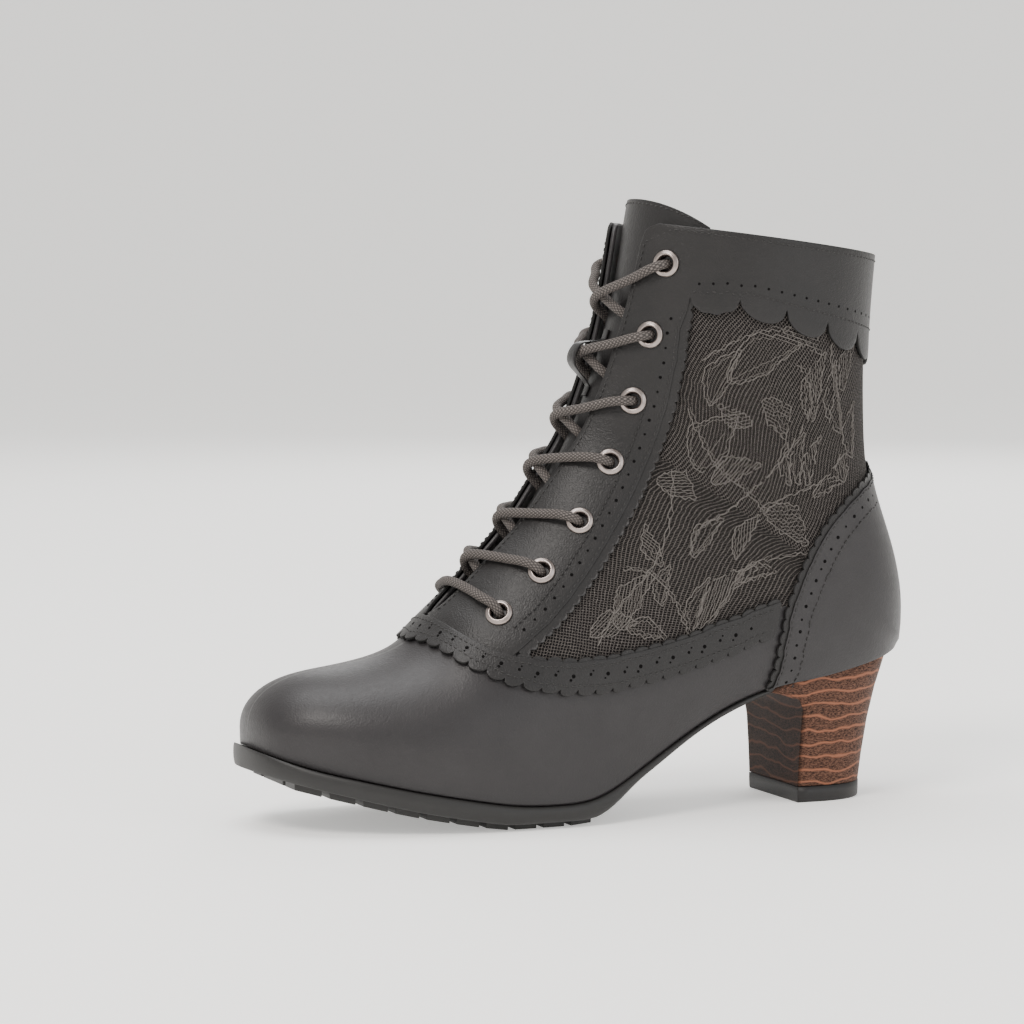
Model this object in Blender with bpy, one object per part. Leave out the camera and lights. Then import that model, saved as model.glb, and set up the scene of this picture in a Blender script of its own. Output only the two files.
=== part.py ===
# Victorian lace-up ankle boot, left foot, size 38, with a 60 mm stacked heel.
# The toe points to -Y, the outer side to +X, and the floor is z = 0.
# Tables are drawn in millimetres for the sizes below. A changed size stretches what it drives.
import math

import bpy
import numpy as np

MM = 0.001

# Driving sizes, in millimetres
BOOT_LENGTH = 250.0
BALL_WIDTH = 77.5
INSTEP_RISE = 148.0
HEEL_SEAT = 56.0
WALL = 1.8
GAP = 0.3
LEATHER = 1.2
LACE_DIAMETER = 3.4
EYELET_OUTSIDE = 9.5
EYELET_HOLE = 5.5
SOLE_LUG = 2.3
LIFT_HEIGHT = 6.0

# How far each driving size stretches the drawn tables
LONG = BOOT_LENGTH / 250.0
WIDE = BALL_WIDTH / 77.5
RISE = INSTEP_RISE / 148.0
SEAT = HEEL_SEAT / 56.0

# Plan of the seam between upper and sole: y, half width outside, half width inside
PLAN = [
    (-122.3, 0.0, 0.0),
    (-119.5, 15.5, 14.5),
    (-110.7, 24.8, 22.8),
    (-93.0, 33.3, 30.0),
    (-75.0, 37.2, 33.8),
    (-56.0, 38.5, 35.4),
    (-38.0, 38.3, 34.4),
    (-20.0, 37.6, 31.0),
    (0.0, 34.7, 26.2),
    (20.0, 30.3, 22.4),
    (41.0, 27.0, 22.0),
    (60.0, 26.5, 24.0),
    (80.0, 27.3, 26.0),
    (96.0, 26.2, 25.6),
    (108.0, 22.5, 22.2),
    (116.4, 14.0, 14.0),
    (121.2, 0.0, 0.0),
]
# Swing of the last: y, x of its centre line
SWING = [(-125.0, -8.0), (-95.0, -5.5), (-75.0, -3.5), (-50.0, -1.3), (-20.0, 0.0), (125.0, 0.0)]
# Side view of the seam between upper and sole: y, z
SEAM = [
    (-125.0, 29.2),
    (-112.7, 24.4),
    (-94.8, 19.7),
    (-75.0, 15.2),
    (-55.0, 11.3),
    (-37.0, 8.6),
    (-25.0, 8.2),
    (-10.0, 9.6),
    (6.6, 17.3),
    (24.0, 27.0),
    (41.0, 35.7),
    (60.0, 42.8),
    (80.0, 46.8),
    (100.0, 51.2),
    (124.0, 56.2),
]
# Sections of the last, toe to collar. Each leans from a point on the front ridge to one on the
# sole seam, or on the back seam where low z is given. Depths are shares of a section's depth.
# top y, top z, low y, low z, half width outside, half width inside, widest depth, fullness behind
SECTIONS = [
    (-122.3, 28.6, -122.3, None, 0.0, 0.0, 0.60, 2.0),
    (-121.6, 37.2, -121.6, None, 8.2, 7.8, 0.60, 2.0),
    (-119.4, 43.0, -119.4, None, 16.4, 15.4, 0.60, 2.0),
    (-114.0, 48.2, -114.6, None, 23.2, 21.6, 0.62, 2.0),
    (-104.5, 52.2, -105.5, None, 29.8, 27.4, 0.64, 2.0),
    (-90.0, 54.8, -91.0, None, 35.4, 32.2, 0.66, 2.0),
    (-74.5, 58.2, -75.0, None, 38.8, 35.4, 0.68, 2.0),
    (-64.5, 63.2, -58.0, None, 40.2, 37.0, 0.68, 2.0),
    (-57.5, 70.0, -42.0, None, 40.3, 37.2, 0.67, 2.1),
    (-49.4, 78.0, -24.0, None, 39.6, 36.2, 0.66, 2.3),
    (-38.5, 90.0, 0.0, None, 37.8, 33.8, 0.62, 2.6),
    (-27.1, 103.0, 32.0, None, 35.8, 32.6, 0.60, 2.9),
    (-17.8, 117.0, 64.0, None, 34.6, 32.4, 0.60, 3.1),
    (-12.0, 126.5, 90.0, None, 34.0, 32.6, 0.60, 3.2),
    (-8.4, 133.0, 107.0, None, 33.8, 32.8, 0.60, 3.2),
    (-6.0, 138.0, 118.0, None, 33.8, 33.0, 0.59, 3.2),
    (-4.2, 142.0, 121.2, 56.0, 34.0, 33.2, 0.58, 3.2),
    (-1.0, 150.0, 121.5, 70.0, 34.2, 33.6, 0.57, 3.1),
    (2.2, 158.0, 117.5, 89.0, 34.8, 34.2, 0.56, 2.9),
    (5.4, 166.5, 110.0, 112.0, 35.6, 35.2, 0.54, 2.6),
    (8.6, 176.5, 107.4, 136.0, 37.0, 36.6, 0.52, 2.4),
    (12.0, 190.5, 107.5, 166.0, 38.4, 38.2, 0.51, 2.2),
    (15.2, 208.0, 109.8, 195.3, 39.4, 39.4, 0.50, 2.1),
]
HEEL_SECTION = 16
# Half width of the throat between the facings: z on the front ridge, half width
THROAT = [
    (71.0, 0.0),
    (72.2, 2.6),
    (75.0, 4.2),
    (80.0, 5.2),
    (104.0, 7.2),
    (132.0, 9.2),
    (163.0, 11.2),
    (201.0, 14.2),
    (204.6, 15.0),
    (206.8, 16.8),
    (208.0, 19.6),
]
# Edges on the outer side, as drawn from the side: y, z
FACING_BACK = [
    (-36.0, 58.6),
    (-28.0, 64.7),
    (-14.5, 77.5),
    (1.6, 97.8),
    (14.6, 118.2),
    (23.0, 139.2),
    (27.8, 167.0),
    (28.6, 181.6),
]
CUFF_BOTTOM = [(28.6, 181.6), (42.9, 180.9), (65.3, 175.8), (91.0, 168.9), (107.5, 163.5)]
BAND_TOP = [
    (-57.2, 70.3),
    (-54.7, 68.0),
    (-49.8, 63.9),
    (-43.1, 60.7),
    (-30.9, 58.0),
    (-19.5, 57.3),
    (-7.1, 57.9),
    (5.8, 59.8),
    (31.4, 66.0),
    (61.3, 75.3),
]
BAND_BOTTOM = [
    (-64.2, 63.9),
    (-60.0, 62.2),
    (-55.3, 58.8),
    (-46.7, 53.7),
    (-32.6, 49.4),
    (-19.7, 47.6),
    (-6.6, 47.8),
    (6.8, 49.6),
    (32.0, 55.4),
    (59.4, 64.2),
]
COUNTER_FRONT = [
    (58.2, 43.2),
    (60.2, 52.0),
    (61.2, 60.5),
    (63.0, 70.0),
    (68.2, 83.4),
    (74.6, 95.8),
    (83.4, 107.0),
    (96.2, 115.6),
    (109.0, 120.6),
]
# Eyelet centres on the outer side, top to bottom: y, z
EYELETS = [
    (22.5, 193.2),
    (17.4, 168.9),
    (11.6, 145.6),
    (2.6, 123.8),
    (-9.7, 104.3),
    (-24.8, 87.1),
    (-40.6, 73.0),
]
# Sole edge: y, z of its underside, how far it stands out past the upper
SOLE_EDGE = [
    (-125.0, 21.2, 2.4),
    (-111.3, 17.3, 2.4),
    (-94.5, 13.0, 2.3),
    (-75.0, 8.2, 2.2),
    (-54.4, 4.2, 2.1),
    (-42.0, 2.3, 2.0),
    (-18.0, 2.3, 1.9),
    (-9.9, 3.0, 1.8),
    (-3.0, 6.2, 1.6),
    (6.0, 12.9, 1.3),
    (16.0, 19.0, 1.1),
    (26.0, 25.0, 0.9),
    (41.7, 33.2, 0.5),
    (61.8, 41.0, 0.0),
]
# Heel, bottom to top: front y, front z, back y, back z, half width
HEEL_ROWS = [
    (76.5, 6.0, 107.6, 6.0, 20.0),
    (76.5, 15.0, 108.8, 15.8, 20.8),
    (76.5, 27.0, 110.8, 28.6, 22.4),
    (76.2, 34.2, 113.6, 41.0, 24.4),
    (74.2, 38.0, 115.8, 47.6, 25.7),
    (69.5, 40.2, 117.4, 51.6, 26.4),
    (62.3, 41.2, 118.6, 54.2, 26.8),
    (62.3, 42.2, 119.0, 55.2, 27.0),
]


def smooth_through(knots, values, at):
    """Natural cubic spline through the knots, read at one place or at an array of places."""
    x = np.asarray(knots, float)
    y = np.asarray(values, float)
    span = np.diff(x)
    count = len(x)
    system = np.eye(count)
    known = np.zeros((count,) + y.shape[1:])
    for i in range(1, count - 1):
        system[i, i - 1 : i + 2] = span[i - 1], 2 * (span[i - 1] + span[i]), span[i]
        known[i] = 3 * ((y[i + 1] - y[i]) / span[i] - (y[i] - y[i - 1]) / span[i - 1])
    bend = np.linalg.solve(system, known)
    at = np.clip(np.asarray(at, float), x[0], x[-1])
    k = np.clip(np.searchsorted(x, at) - 1, 0, count - 2)
    d = at - x[k]
    s = span[k]
    if y.ndim > 1:
        d = d[..., None]
        s = s[..., None]
    slope = (y[k + 1] - y[k]) / s - s * (2 * bend[k] + bend[k + 1]) / 3
    return y[k] + slope * d + bend[k] * d**2 + (bend[k + 1] - bend[k]) / (3 * s) * d**3


def column(rows, index):
    return np.array([row[index] for row in rows], float)


def seam_z(y):
    """Height of the seam between upper and sole."""
    return SEAT * smooth_through(column(SEAM, 0) * LONG, column(SEAM, 1), y)


def placed(y, z):
    """A drawn side-view point at the driving sizes: heights ride on the sole seam below them."""
    drawn_seam = smooth_through(column(SEAM, 0), column(SEAM, 1), y)
    return np.asarray(y, float) * LONG, SEAT * drawn_seam + RISE * (np.asarray(z, float) - drawn_seam)


def centre_x(y):
    return WIDE * smooth_through(column(SWING, 0) * LONG, column(SWING, 1), y)


PLAN_TOE = PLAN[0][0] * LONG
PLAN_BACK = PLAN[-1][0] * LONG


def plan_angle(y):
    """Angle round the plan, 0 at the toe and pi at the back, which keeps both ends round."""
    half = (PLAN_BACK - PLAN_TOE) / 2
    return np.arccos(np.clip(((PLAN_BACK + PLAN_TOE) / 2 - np.asarray(y, float)) / half, -1, 1))


def plan_y(angle):
    return (PLAN_BACK + PLAN_TOE) / 2 - (PLAN_BACK - PLAN_TOE) / 2 * np.cos(angle)


def plan_half(y, outer):
    """Half width of the seam's plan, on the outer or on the inner side."""
    angles = plan_angle(column(PLAN, 0) * LONG)
    return np.maximum(WIDE * smooth_through(angles, column(PLAN, 1 if outer else 2), plan_angle(y)), 0)


def section_table():
    """The sections at the driving sizes, with the seam's height filled in."""
    rows = []
    for top_y, top_z, low_y, low_z, outer, inner, widest, fullness in SECTIONS:
        top = placed(top_y, top_z)
        low = (low_y * LONG, seam_z(low_y * LONG)) if low_z is None else placed(low_y, low_z)
        rows.append((*top, *low, outer * WIDE, inner * WIDE, widest, fullness))
    return np.array(rows, float)


TABLE = section_table()


def section_stations():
    """Distance along the boot at each section: the mean of its top point's and low point's way."""
    top = TABLE[:, 0:2]
    side = [plan_half(y, True) if i < HEEL_SECTION else 0.0 for i, y in enumerate(TABLE[:, 2])]
    low = np.column_stack([TABLE[:, 2:4], side])
    step = np.linalg.norm(np.diff(top, axis=0), axis=1) + np.linalg.norm(np.diff(low, axis=0), axis=1)
    return np.concatenate([[0], np.cumsum(step / 2)])


STATIONS = section_stations()
HEEL_STATION = STATIONS[HEEL_SECTION]
COLLAR_STATION = STATIONS[-1]
FOOT_ANGLES = plan_angle(TABLE[: HEEL_SECTION + 1, 2])


def section_at(station, outer):
    """Top y, top z, low y, low z, half width, half width at the seam, widest depth, fullness."""
    station = np.asarray(station, float)
    row = smooth_through(STATIONS, TABLE[:, [0, 1, 4 if outer else 5, 6, 7]], station)
    foot = smooth_through(STATIONS[: HEEL_SECTION + 1], FOOT_ANGLES, station)
    back = smooth_through(STATIONS[HEEL_SECTION:], TABLE[HEEL_SECTION:, 2:4], station)
    in_foot = station <= HEEL_STATION
    foot_y = plan_y(foot)
    low_y = np.where(in_foot, foot_y, back[..., 0])
    low_z = np.where(in_foot, seam_z(foot_y), back[..., 1])
    low_half = np.where(in_foot, plan_half(foot_y, outer), 0)
    wide = np.maximum(row[..., 2], low_half * 1.02 + 1e-6)
    return row[..., 0], row[..., 1], low_y, low_z, wide, low_half, row[..., 3], row[..., 4]


# Turn at which every section is widest
WIDEST_TURN = 0.6


def turn_at(across, wide):
    """Turn of the point in front of the widest place that lies this far from the centre line."""
    return WIDEST_TURN * np.arcsin(np.clip(across / wide, 0, 0.95)) / (math.pi / 2)


def wall_side(station, turn, outer):
    top_y, top_z, low_y, low_z, wide, low_half, widest, fullness = section_at(station, outer)
    in_front = turn <= WIDEST_TURN
    theta = math.pi / 2 * np.clip(turn / WIDEST_TURN, 0, 1)
    sweep = np.arccos(np.clip(low_half / wide, 0, 0.985))
    cut = np.sin(sweep)
    share = np.sin(sweep * np.clip((turn - WIDEST_TURN) / (1 - WIDEST_TURN), 0, 1)) / cut
    down = np.where(in_front, widest * (1 - np.cos(theta)), widest + (1 - widest) * share)
    y = top_y + (low_y - top_y) * down
    z = top_z + (low_z - top_z) * down
    behind = np.sqrt(np.clip(1 - cut**2 * share**fullness, 0, 1))
    across = wide * np.where(in_front, np.sin(theta), behind)
    return np.stack([centre_x(y) + (across if outer else -across), y, z], -1)


def wall_point(station, turn):
    """Outer face of the plain upper. turn is 0 on the front ridge and runs to +1 on the outer
    side and -1 on the inner side, at the sole seam or the back seam."""
    station, turn = np.broadcast_arrays(np.asarray(station, float), np.asarray(turn, float))
    outer = wall_side(station, np.abs(turn), True)
    inner = wall_side(station, np.abs(turn), False)
    return np.where((turn >= 0)[..., None], outer, inner)


def wall_normal(station, turn):
    station, turn = np.broadcast_arrays(np.asarray(station, float), np.asarray(turn, float))
    ahead = np.clip(station + 0.25, 0.6, COLLAR_STATION)
    behind = np.clip(station - 0.25, 0.3, COLLAR_STATION)
    middle = (ahead + behind) / 2
    along = wall_point(ahead, turn) - wall_point(behind, turn)
    more, less = np.clip(turn + 2e-3, -1, 1), np.clip(turn - 2e-3, -1, 1)
    round_it = wall_point(middle, more) - wall_point(middle, less)
    normal = np.cross(round_it, along)
    return normal / np.linalg.norm(normal, axis=-1, keepdims=True)


def off_wall(station, turn, distance):
    distance = np.asarray(distance, float)
    if distance.ndim:
        distance = distance[..., None]
    return wall_point(station, turn) + wall_normal(station, turn) * distance


GRID_STATIONS, GRID_TURNS = np.meshgrid(
    np.linspace(1, COLLAR_STATION, 260), np.linspace(0, 1, 90), indexing="ij"
)
GRID = {side: wall_point(GRID_STATIONS, GRID_TURNS * side) for side in (1, -1)}


def spot(y, z, side=1):
    """Station and turn of the wall's point that has this y and z in side view."""
    near = np.argmin((GRID[side][..., 1] - y) ** 2 + (GRID[side][..., 2] - z) ** 2)
    found = np.array([GRID_STATIONS.flat[near], GRID_TURNS.flat[near]])
    step = np.array([0.5, 0.004])
    for _ in range(6):
        here = wall_point(found[0], found[1] * side)[1:]
        a = (wall_point(min(found[0] + step[0], COLLAR_STATION), found[1] * side)[1:] - here) / step[0]
        b = (wall_point(found[0], min(found[1] + step[1], 1) * side)[1:] - here) / step[1]
        move = np.linalg.lstsq(np.column_stack([a, b]), np.array([y, z]) - here, rcond=0.02)[0]
        found += np.clip(move, (-4, -0.04), (4, 0.04))
        found = np.clip(found, (0.5, 0), (COLLAR_STATION, 0.999))
    return found[0], found[1] * side


def edge_on_wall(rows, side, starts_on_ridge=False, ends_on_back=False, samples=26):
    """Knots, stations and turns of a side-view edge, laid on one side of the wall."""
    points = np.array([placed(y, z) for y, z in rows])
    way = np.concatenate([[0], np.cumsum(np.linalg.norm(np.diff(points, axis=0), axis=1))])
    at = np.linspace(0, way[-1], samples)
    drawn = smooth_through(way, points, at)
    spots = np.array([spot(y, z, side) for y, z in drawn])
    if starts_on_ridge:
        spots[0, 1] = 0
        spots = np.delete(spots, 1, axis=0)
    if ends_on_back:
        spots[-1, 1] = side
        spots = np.delete(spots, -2, axis=0)
    laid = wall_point(spots[:, 0], spots[:, 1])
    knots = np.concatenate([[0], np.cumsum(np.linalg.norm(np.diff(laid, axis=0), axis=1))])
    return knots, spots


def along_edge(edge, fraction):
    knots, spots = edge
    return smooth_through(knots, spots, np.asarray(fraction, float) * knots[-1])


def throat_turn(station, side):
    """Turn at which the facing's edge lies."""
    top_z = section_at(station, side > 0)[1]
    z = [placed(-20.0, row[0])[1] for row in THROAT]
    half = np.interp(top_z, z, column(THROAT, 1), left=0.0)
    return side * turn_at(half, section_at(station, side > 0)[4])


def material(name, colour, roughness, metallic=0.0):
    made = bpy.data.materials.get(name) or bpy.data.materials.new(name)
    made.use_nodes = True
    shader = made.node_tree.nodes["Principled BSDF"]
    shader.inputs["Base Color"].default_value = (*colour, 1.0)
    shader.inputs["Roughness"].default_value = roughness
    shader.inputs["Metallic"].default_value = metallic
    return made


def add_object(name, points, faces, finish):
    mesh = bpy.data.meshes.new(name)
    mesh.from_pydata((np.asarray(points) * MM).tolist(), [], faces)
    mesh.materials.append(finish)
    made = bpy.data.objects.new(name, mesh)
    bpy.context.scene.collection.objects.link(made)
    return made


def close_sheet(name, outer, inner, faces, finish):
    """A solid between two matching sheets: both faces, and a wall along every free edge."""
    count = len(outer)
    used = {}
    for face in faces:
        for a, b in zip(face, face[1:] + face[:1]):
            used[(a, b)] = True
    solid = [tuple(face) for face in faces]
    solid += [tuple(i + count for i in reversed(face)) for face in faces]
    solid += [(b, a, a + count, b + count) for a, b in used if (b, a) not in used]
    return add_object(name, np.concatenate([outer, inner]), solid, finish)


def sheet_on_wall(name, spots, faces, inside, outside, finish):
    spots = np.asarray(spots, float)
    outer = off_wall(spots[:, 0], spots[:, 1], outside)
    inner = off_wall(spots[:, 0], spots[:, 1], inside)
    return close_sheet(name, outer, inner, faces, finish)


class Patch:
    """Points on the wall, each held once, and the faces between them."""

    def __init__(self):
        self.spots = []
        self.known = {}
        self.faces = []

    def point(self, station, turn):
        key = (round(float(station), 4), round(float(turn), 6))
        if key not in self.known:
            self.known[key] = len(self.spots)
            self.spots.append(key)
        return self.known[key]

    def grid(self, rows, flip=False):
        """Faces between rows of (station, turn) spots; equal neighbours make triangles."""
        marks = [[self.point(*place) for place in row] for row in rows]
        for low, high in zip(marks, marks[1:]):
            for j in range(len(low) - 1):
                face = [low[j], low[j + 1], high[j + 1], high[j]]
                face = [v for i, v in enumerate(face) if v != face[i - 1]]
                if len(face) > 2:
                    self.faces.append(face[::-1] if flip else face)


# Upper: one lasted wall, open at the collar, the throat and underneath
def upper_stations():
    """Rows of the upper's mesh: close at the toe, then one every 7 or 8 mm."""
    throat = float(np.interp(placed(-57.0, THROAT[0][0])[1], TABLE[:, 1], STATIONS))
    stretches = [
        (0.0, STATIONS[2], 3),
        (STATIONS[2], throat, 9),
        (throat, throat + 5.0, 2),
        (throat + 5.0, HEEL_STATION, 13),
        (HEEL_STATION, STATIONS[-2], 9),
        (STATIONS[-2], COLLAR_STATION, 4),
    ]
    rows = [np.linspace(a, b, n, endpoint=False) for a, b, n in stretches]
    return np.concatenate(rows + [[COLLAR_STATION]])


UPPER_COLUMNS = 9


def make_upper(finish):
    patch = Patch()
    for side in (1, -1):
        rows = []
        for station in upper_stations():
            start = float(throat_turn(station, side))
            turns = [start + (side - start) * j / UPPER_COLUMNS for j in range(UPPER_COLUMNS + 1)]
            rows.append([(station, turn) for turn in turns])
        rows[0] = [(0.0, 0.0)] * (UPPER_COLUMNS + 1)
        for row in rows:
            if row[0][0] >= HEEL_STATION - 1e-6:
                row[-1] = (row[-1][0], 1.0)
        patch.grid(rows, flip=side < 0)
    return sheet_on_wall("upper", patch.spots, patch.faces, -WALL, 0.0, finish)


# Collar and facings: one leather overlay, with its big scallops over the side panels
CUFF_SCALLOPS = 6
SCALLOP_DEPTH = 6.5
SCALLOP_STEPS = 5
FACING_ROWS = 20
FACING_COLUMNS = 4
CUFF_ROWS = 3
THROAT_LEAST = 0.8
THROAT_START = 1.5
BAND_CLEAR = 1.2
OVERLAY_INSIDE = GAP + 0.25
OVERLAY_OUTSIDE = OVERLAY_INSIDE + LEATHER


def lay_overlay(name, patch, inside, finish):
    return sheet_on_wall(name, patch.spots, patch.faces, inside, OVERLAY_OUTSIDE, finish)


def scallop(phase):
    """How far a scallop stands out, 0 to 1, at a place counted in scallops."""
    return math.sqrt(max(1 - (2 * (phase % 1.0) - 1) ** 2, 0.0))


def clear_turn(station, side):
    """The facing's edge, kept off the ridge where the throat closes."""
    least = float(turn_at(THROAT_LEAST, section_at(station, side > 0)[4]))
    return side * max(abs(float(throat_turn(station, side))), least)


def spread(first, last, count):
    return [tuple(np.add(first, np.subtract(last, first) * i / count)) for i in range(count + 1)]


def make_collar(finish):
    patch = Patch()
    for side in (1, -1):
        back = edge_on_wall(FACING_BACK, side)
        bottom = edge_on_wall(CUFF_BOTTOM, side, ends_on_back=True)
        band = edge_on_wall(BAND_TOP, side, starts_on_ridge=True)
        start_back = along_edge(back, 0.0)
        shares = np.linspace(0, 1, 101)
        reach = float(shares[np.argmin(np.abs(along_edge(band, shares)[:, 1] - start_back[1]))])
        low_row = []
        for j in range(FACING_COLUMNS + 1):
            station, turn = along_edge(band, reach * j / FACING_COLUMNS)
            low_row.append((station + BAND_CLEAR, turn))
        low_row[0] = (low_row[0][0] + THROAT_START, clear_turn(low_row[0][0] + THROAT_START, side))
        facing = [low_row]
        corner = tuple(along_edge(bottom, 0.0))
        for i in range(1, FACING_ROWS + 1):
            share = i / FACING_ROWS
            outer = tuple(along_edge(back, share)) if i < FACING_ROWS else corner
            station = low_row[0][0] + (corner[0] - low_row[0][0]) * share
            facing.append(spread((station, clear_turn(station, side)), outer, FACING_COLUMNS))
        facing[1][-1] = tuple((np.add(low_row[-1], facing[2][-1])) / 2)
        for i in range(1, CUFF_ROWS + 1):
            station = corner[0] + (COLLAR_STATION - corner[0]) * i / CUFF_ROWS
            rim = (station, clear_turn(station, side))
            facing.append(spread(rim, (station, corner[1]), FACING_COLUMNS))
        patch.grid(facing, flip=side < 0)
        columns = CUFF_SCALLOPS * SCALLOP_STEPS
        cuff = [[facing[FACING_ROWS + i][-1]] for i in range(CUFF_ROWS + 1)]
        for j in range(1, columns + 1):
            low_station, turn = along_edge(bottom, j / columns)
            if j == columns:
                turn = 1.0
            hang = scallop(j / SCALLOP_STEPS) * SCALLOP_DEPTH if j < columns else 0.0
            for i in range(CUFF_ROWS + 1):
                station = low_station + (COLLAR_STATION - low_station) * i / CUFF_ROWS
                cuff[i].append((station - (hang if i == 0 else 0.0), turn))
        patch.grid(cuff, flip=side < 0)
    return lay_overlay("collar_and_facings", patch, OVERLAY_INSIDE, finish)


def band_rows(low, high, steps, columns, hang, pitch_count):
    """Rows of spots between two edges; the low edge hangs out in small scallops."""
    rows = [[] for _ in range(steps + 1)]
    for j in range(columns + 1):
        a = along_edge(low, j / columns)
        b = along_edge(high, j / columns)
        out = scallop(j * pitch_count / columns) * hang
        for i in range(steps + 1):
            share = i / steps if i else -out
            rows[i].append(tuple(a + (b - a) * share))
    return rows


# Wing band: runs from the counter forward, over the vamp at the foot of the throat, and back
BAND_SCALLOPS = 23
BAND_SCALLOP_HANG = 0.2
BAND_COLUMNS = BAND_SCALLOPS * 3


def make_band(finish):
    patch = Patch()
    for side in (1, -1):
        low = edge_on_wall(BAND_BOTTOM, side, starts_on_ridge=True)
        high = edge_on_wall(BAND_TOP, side, starts_on_ridge=True)
        rows = band_rows(low, high, 2, BAND_COLUMNS, BAND_SCALLOP_HANG, BAND_SCALLOPS)
        patch.grid(rows, flip=side < 0)
    return lay_overlay("wing_band", patch, OVERLAY_INSIDE, finish)


# Heel counter: wraps the back of the foot, from the sole seam to a point on the back seam
COUNTER_ROWS = 11
COUNTER_COLUMNS = 11
COUNTER_CLEAR = 0.4
COUNTER_FOOT_TURN = 0.985
# Places along a row of the counter, whose spots are looked up on the wall
ROUND_HEEL = (0.35, 0.7)


def row_round_heel(first, last, side):
    """Spots from the counter's front edge to the back seam, evenly spaced round the heel."""
    start, end = wall_point(*first), wall_point(*last)
    knots = [first]
    for share in ROUND_HEEL:
        y = start[1] + (end[1] - start[1]) * math.sin(share * math.pi / 2)
        z = start[2] + (end[2] - start[2]) * share
        knots.append(spot(y, z, side))
    at = np.linspace(0, 1, COUNTER_COLUMNS + 1)
    return [tuple(place) for place in smooth_through([0.0, *ROUND_HEEL, 1.0], [*knots, last], at)]


def make_counter(finish):
    patch = Patch()
    for side in (1, -1):
        front = edge_on_wall(COUNTER_FRONT, side, ends_on_back=True)
        top_station = along_edge(front, 1.0)[0]
        low_station = HEEL_STATION + 1.0
        rows = []
        for i in range(COUNTER_ROWS + 1):
            share = i / COUNTER_ROWS
            first = tuple(along_edge(front, share))
            back_station = low_station + (top_station - low_station) * share
            last = (back_station, side)
            if i == 0:
                low = spread(first, last, COUNTER_COLUMNS)
                row = [(station, COUNTER_FOOT_TURN * side) for station, _ in low]
            else:
                row = row_round_heel(first, last, side)
            row[-1] = (back_station, 1.0)
            rows.append(row)
        rows[-1] = [(top_station, 1.0)] * (COUNTER_COLUMNS + 1)
        patch.grid(rows, flip=side < 0)
    return lay_overlay("heel_counter", patch, OVERLAY_INSIDE + COUNTER_CLEAR, finish)


# Tongue: a curved sheet behind the facings, sewn under the vamp and standing above the collar
TONGUE_FOOT_Z = 66.0
TONGUE_TOP_RISE = 8.5
TONGUE_CORNER_DROP = 4.5
TONGUE_FLARE = 0.2
TONGUE_DEPTH = 3.6
TONGUE_SEWN_DEPTH = WALL + GAP + 0.05
TONGUE_SEWN_ROWS = 3
TONGUE_THICK = 1.6
TONGUE_HALF = [(66.0, 10.0), (80.0, 16.0), (104.0, 21.0), (150.0, 26.0), (208.0, 31.5)]
TONGUE_ROWS = 15
TONGUE_COLUMNS = 8


def make_tongue(finish):
    foot = float(np.interp(placed(-61.0, TONGUE_FOOT_Z)[1], TABLE[:, 1], STATIONS))
    outer = []
    inner = []
    faces = []
    width = TONGUE_COLUMNS + 1
    for i in range(TONGUE_ROWS + 1):
        share = i / TONGUE_ROWS
        station = foot + (COLLAR_STATION - foot) * share
        section = section_at(station, True)
        half = np.interp(section[1], column(TONGUE_HALF, 0), column(TONGUE_HALF, 1))
        reach = float(turn_at(half, section[4]))
        depth = TONGUE_SEWN_DEPTH + (TONGUE_DEPTH - TONGUE_SEWN_DEPTH) * min(i / TONGUE_SEWN_ROWS, 1)
        for j in range(width):
            turn = reach * (2 * j / TONGUE_COLUMNS - 1)
            face = off_wall(station, turn, -depth)
            back = off_wall(station, turn, -depth - TONGUE_THICK)
            outer.append(face)
            inner.append(back)
    lean = (np.array(outer[-width:]) - np.array(outer[-2 * width : -width])) * (TONGUE_FLARE, 1, 1)
    lean /= np.linalg.norm(lean, axis=1, keepdims=True)
    corner = np.abs(np.linspace(-1, 1, width)) ** 3
    rise = (TONGUE_TOP_RISE - TONGUE_CORNER_DROP * corner)[:, None]
    outer.extend(np.array(outer[-width:]) + lean * rise)
    inner.extend(np.array(inner[-width:]) + lean * rise)
    for i in range(TONGUE_ROWS + 1):
        for j in range(TONGUE_COLUMNS):
            a = i * width + j
            faces.append([a, a + 1, a + 1 + width, a + width])
    return close_sheet("tongue", np.array(outer), np.array(inner), faces, finish)


# Insole: a thin board inside the upper, lying on the sole
INSOLE_INSET = 2.9
INSOLE_THICK = 2.4
INSOLE_COUNT = 22
INSOLE_LIFT = 0.05


def make_insole(finish):
    rows = []
    for i in range(INSOLE_COUNT + 1):
        angle = math.pi * i / INSOLE_COUNT
        y = plan_y(angle)
        y_in = PLAN_TOE + INSOLE_INSET + (y - PLAN_TOE) * (1 - 2 * INSOLE_INSET / (PLAN_BACK - PLAN_TOE))
        outer = max(float(plan_half(y, True)) - INSOLE_INSET, 0) if 0 < i < INSOLE_COUNT else 0.0
        inner = max(float(plan_half(y, False)) - INSOLE_INSET, 0) if 0 < i < INSOLE_COUNT else 0.0
        rows.append((y_in, outer, inner))
    return plan_slab("insole", rows, INSOLE_LIFT, INSOLE_LIFT + INSOLE_THICK, finish)


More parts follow.
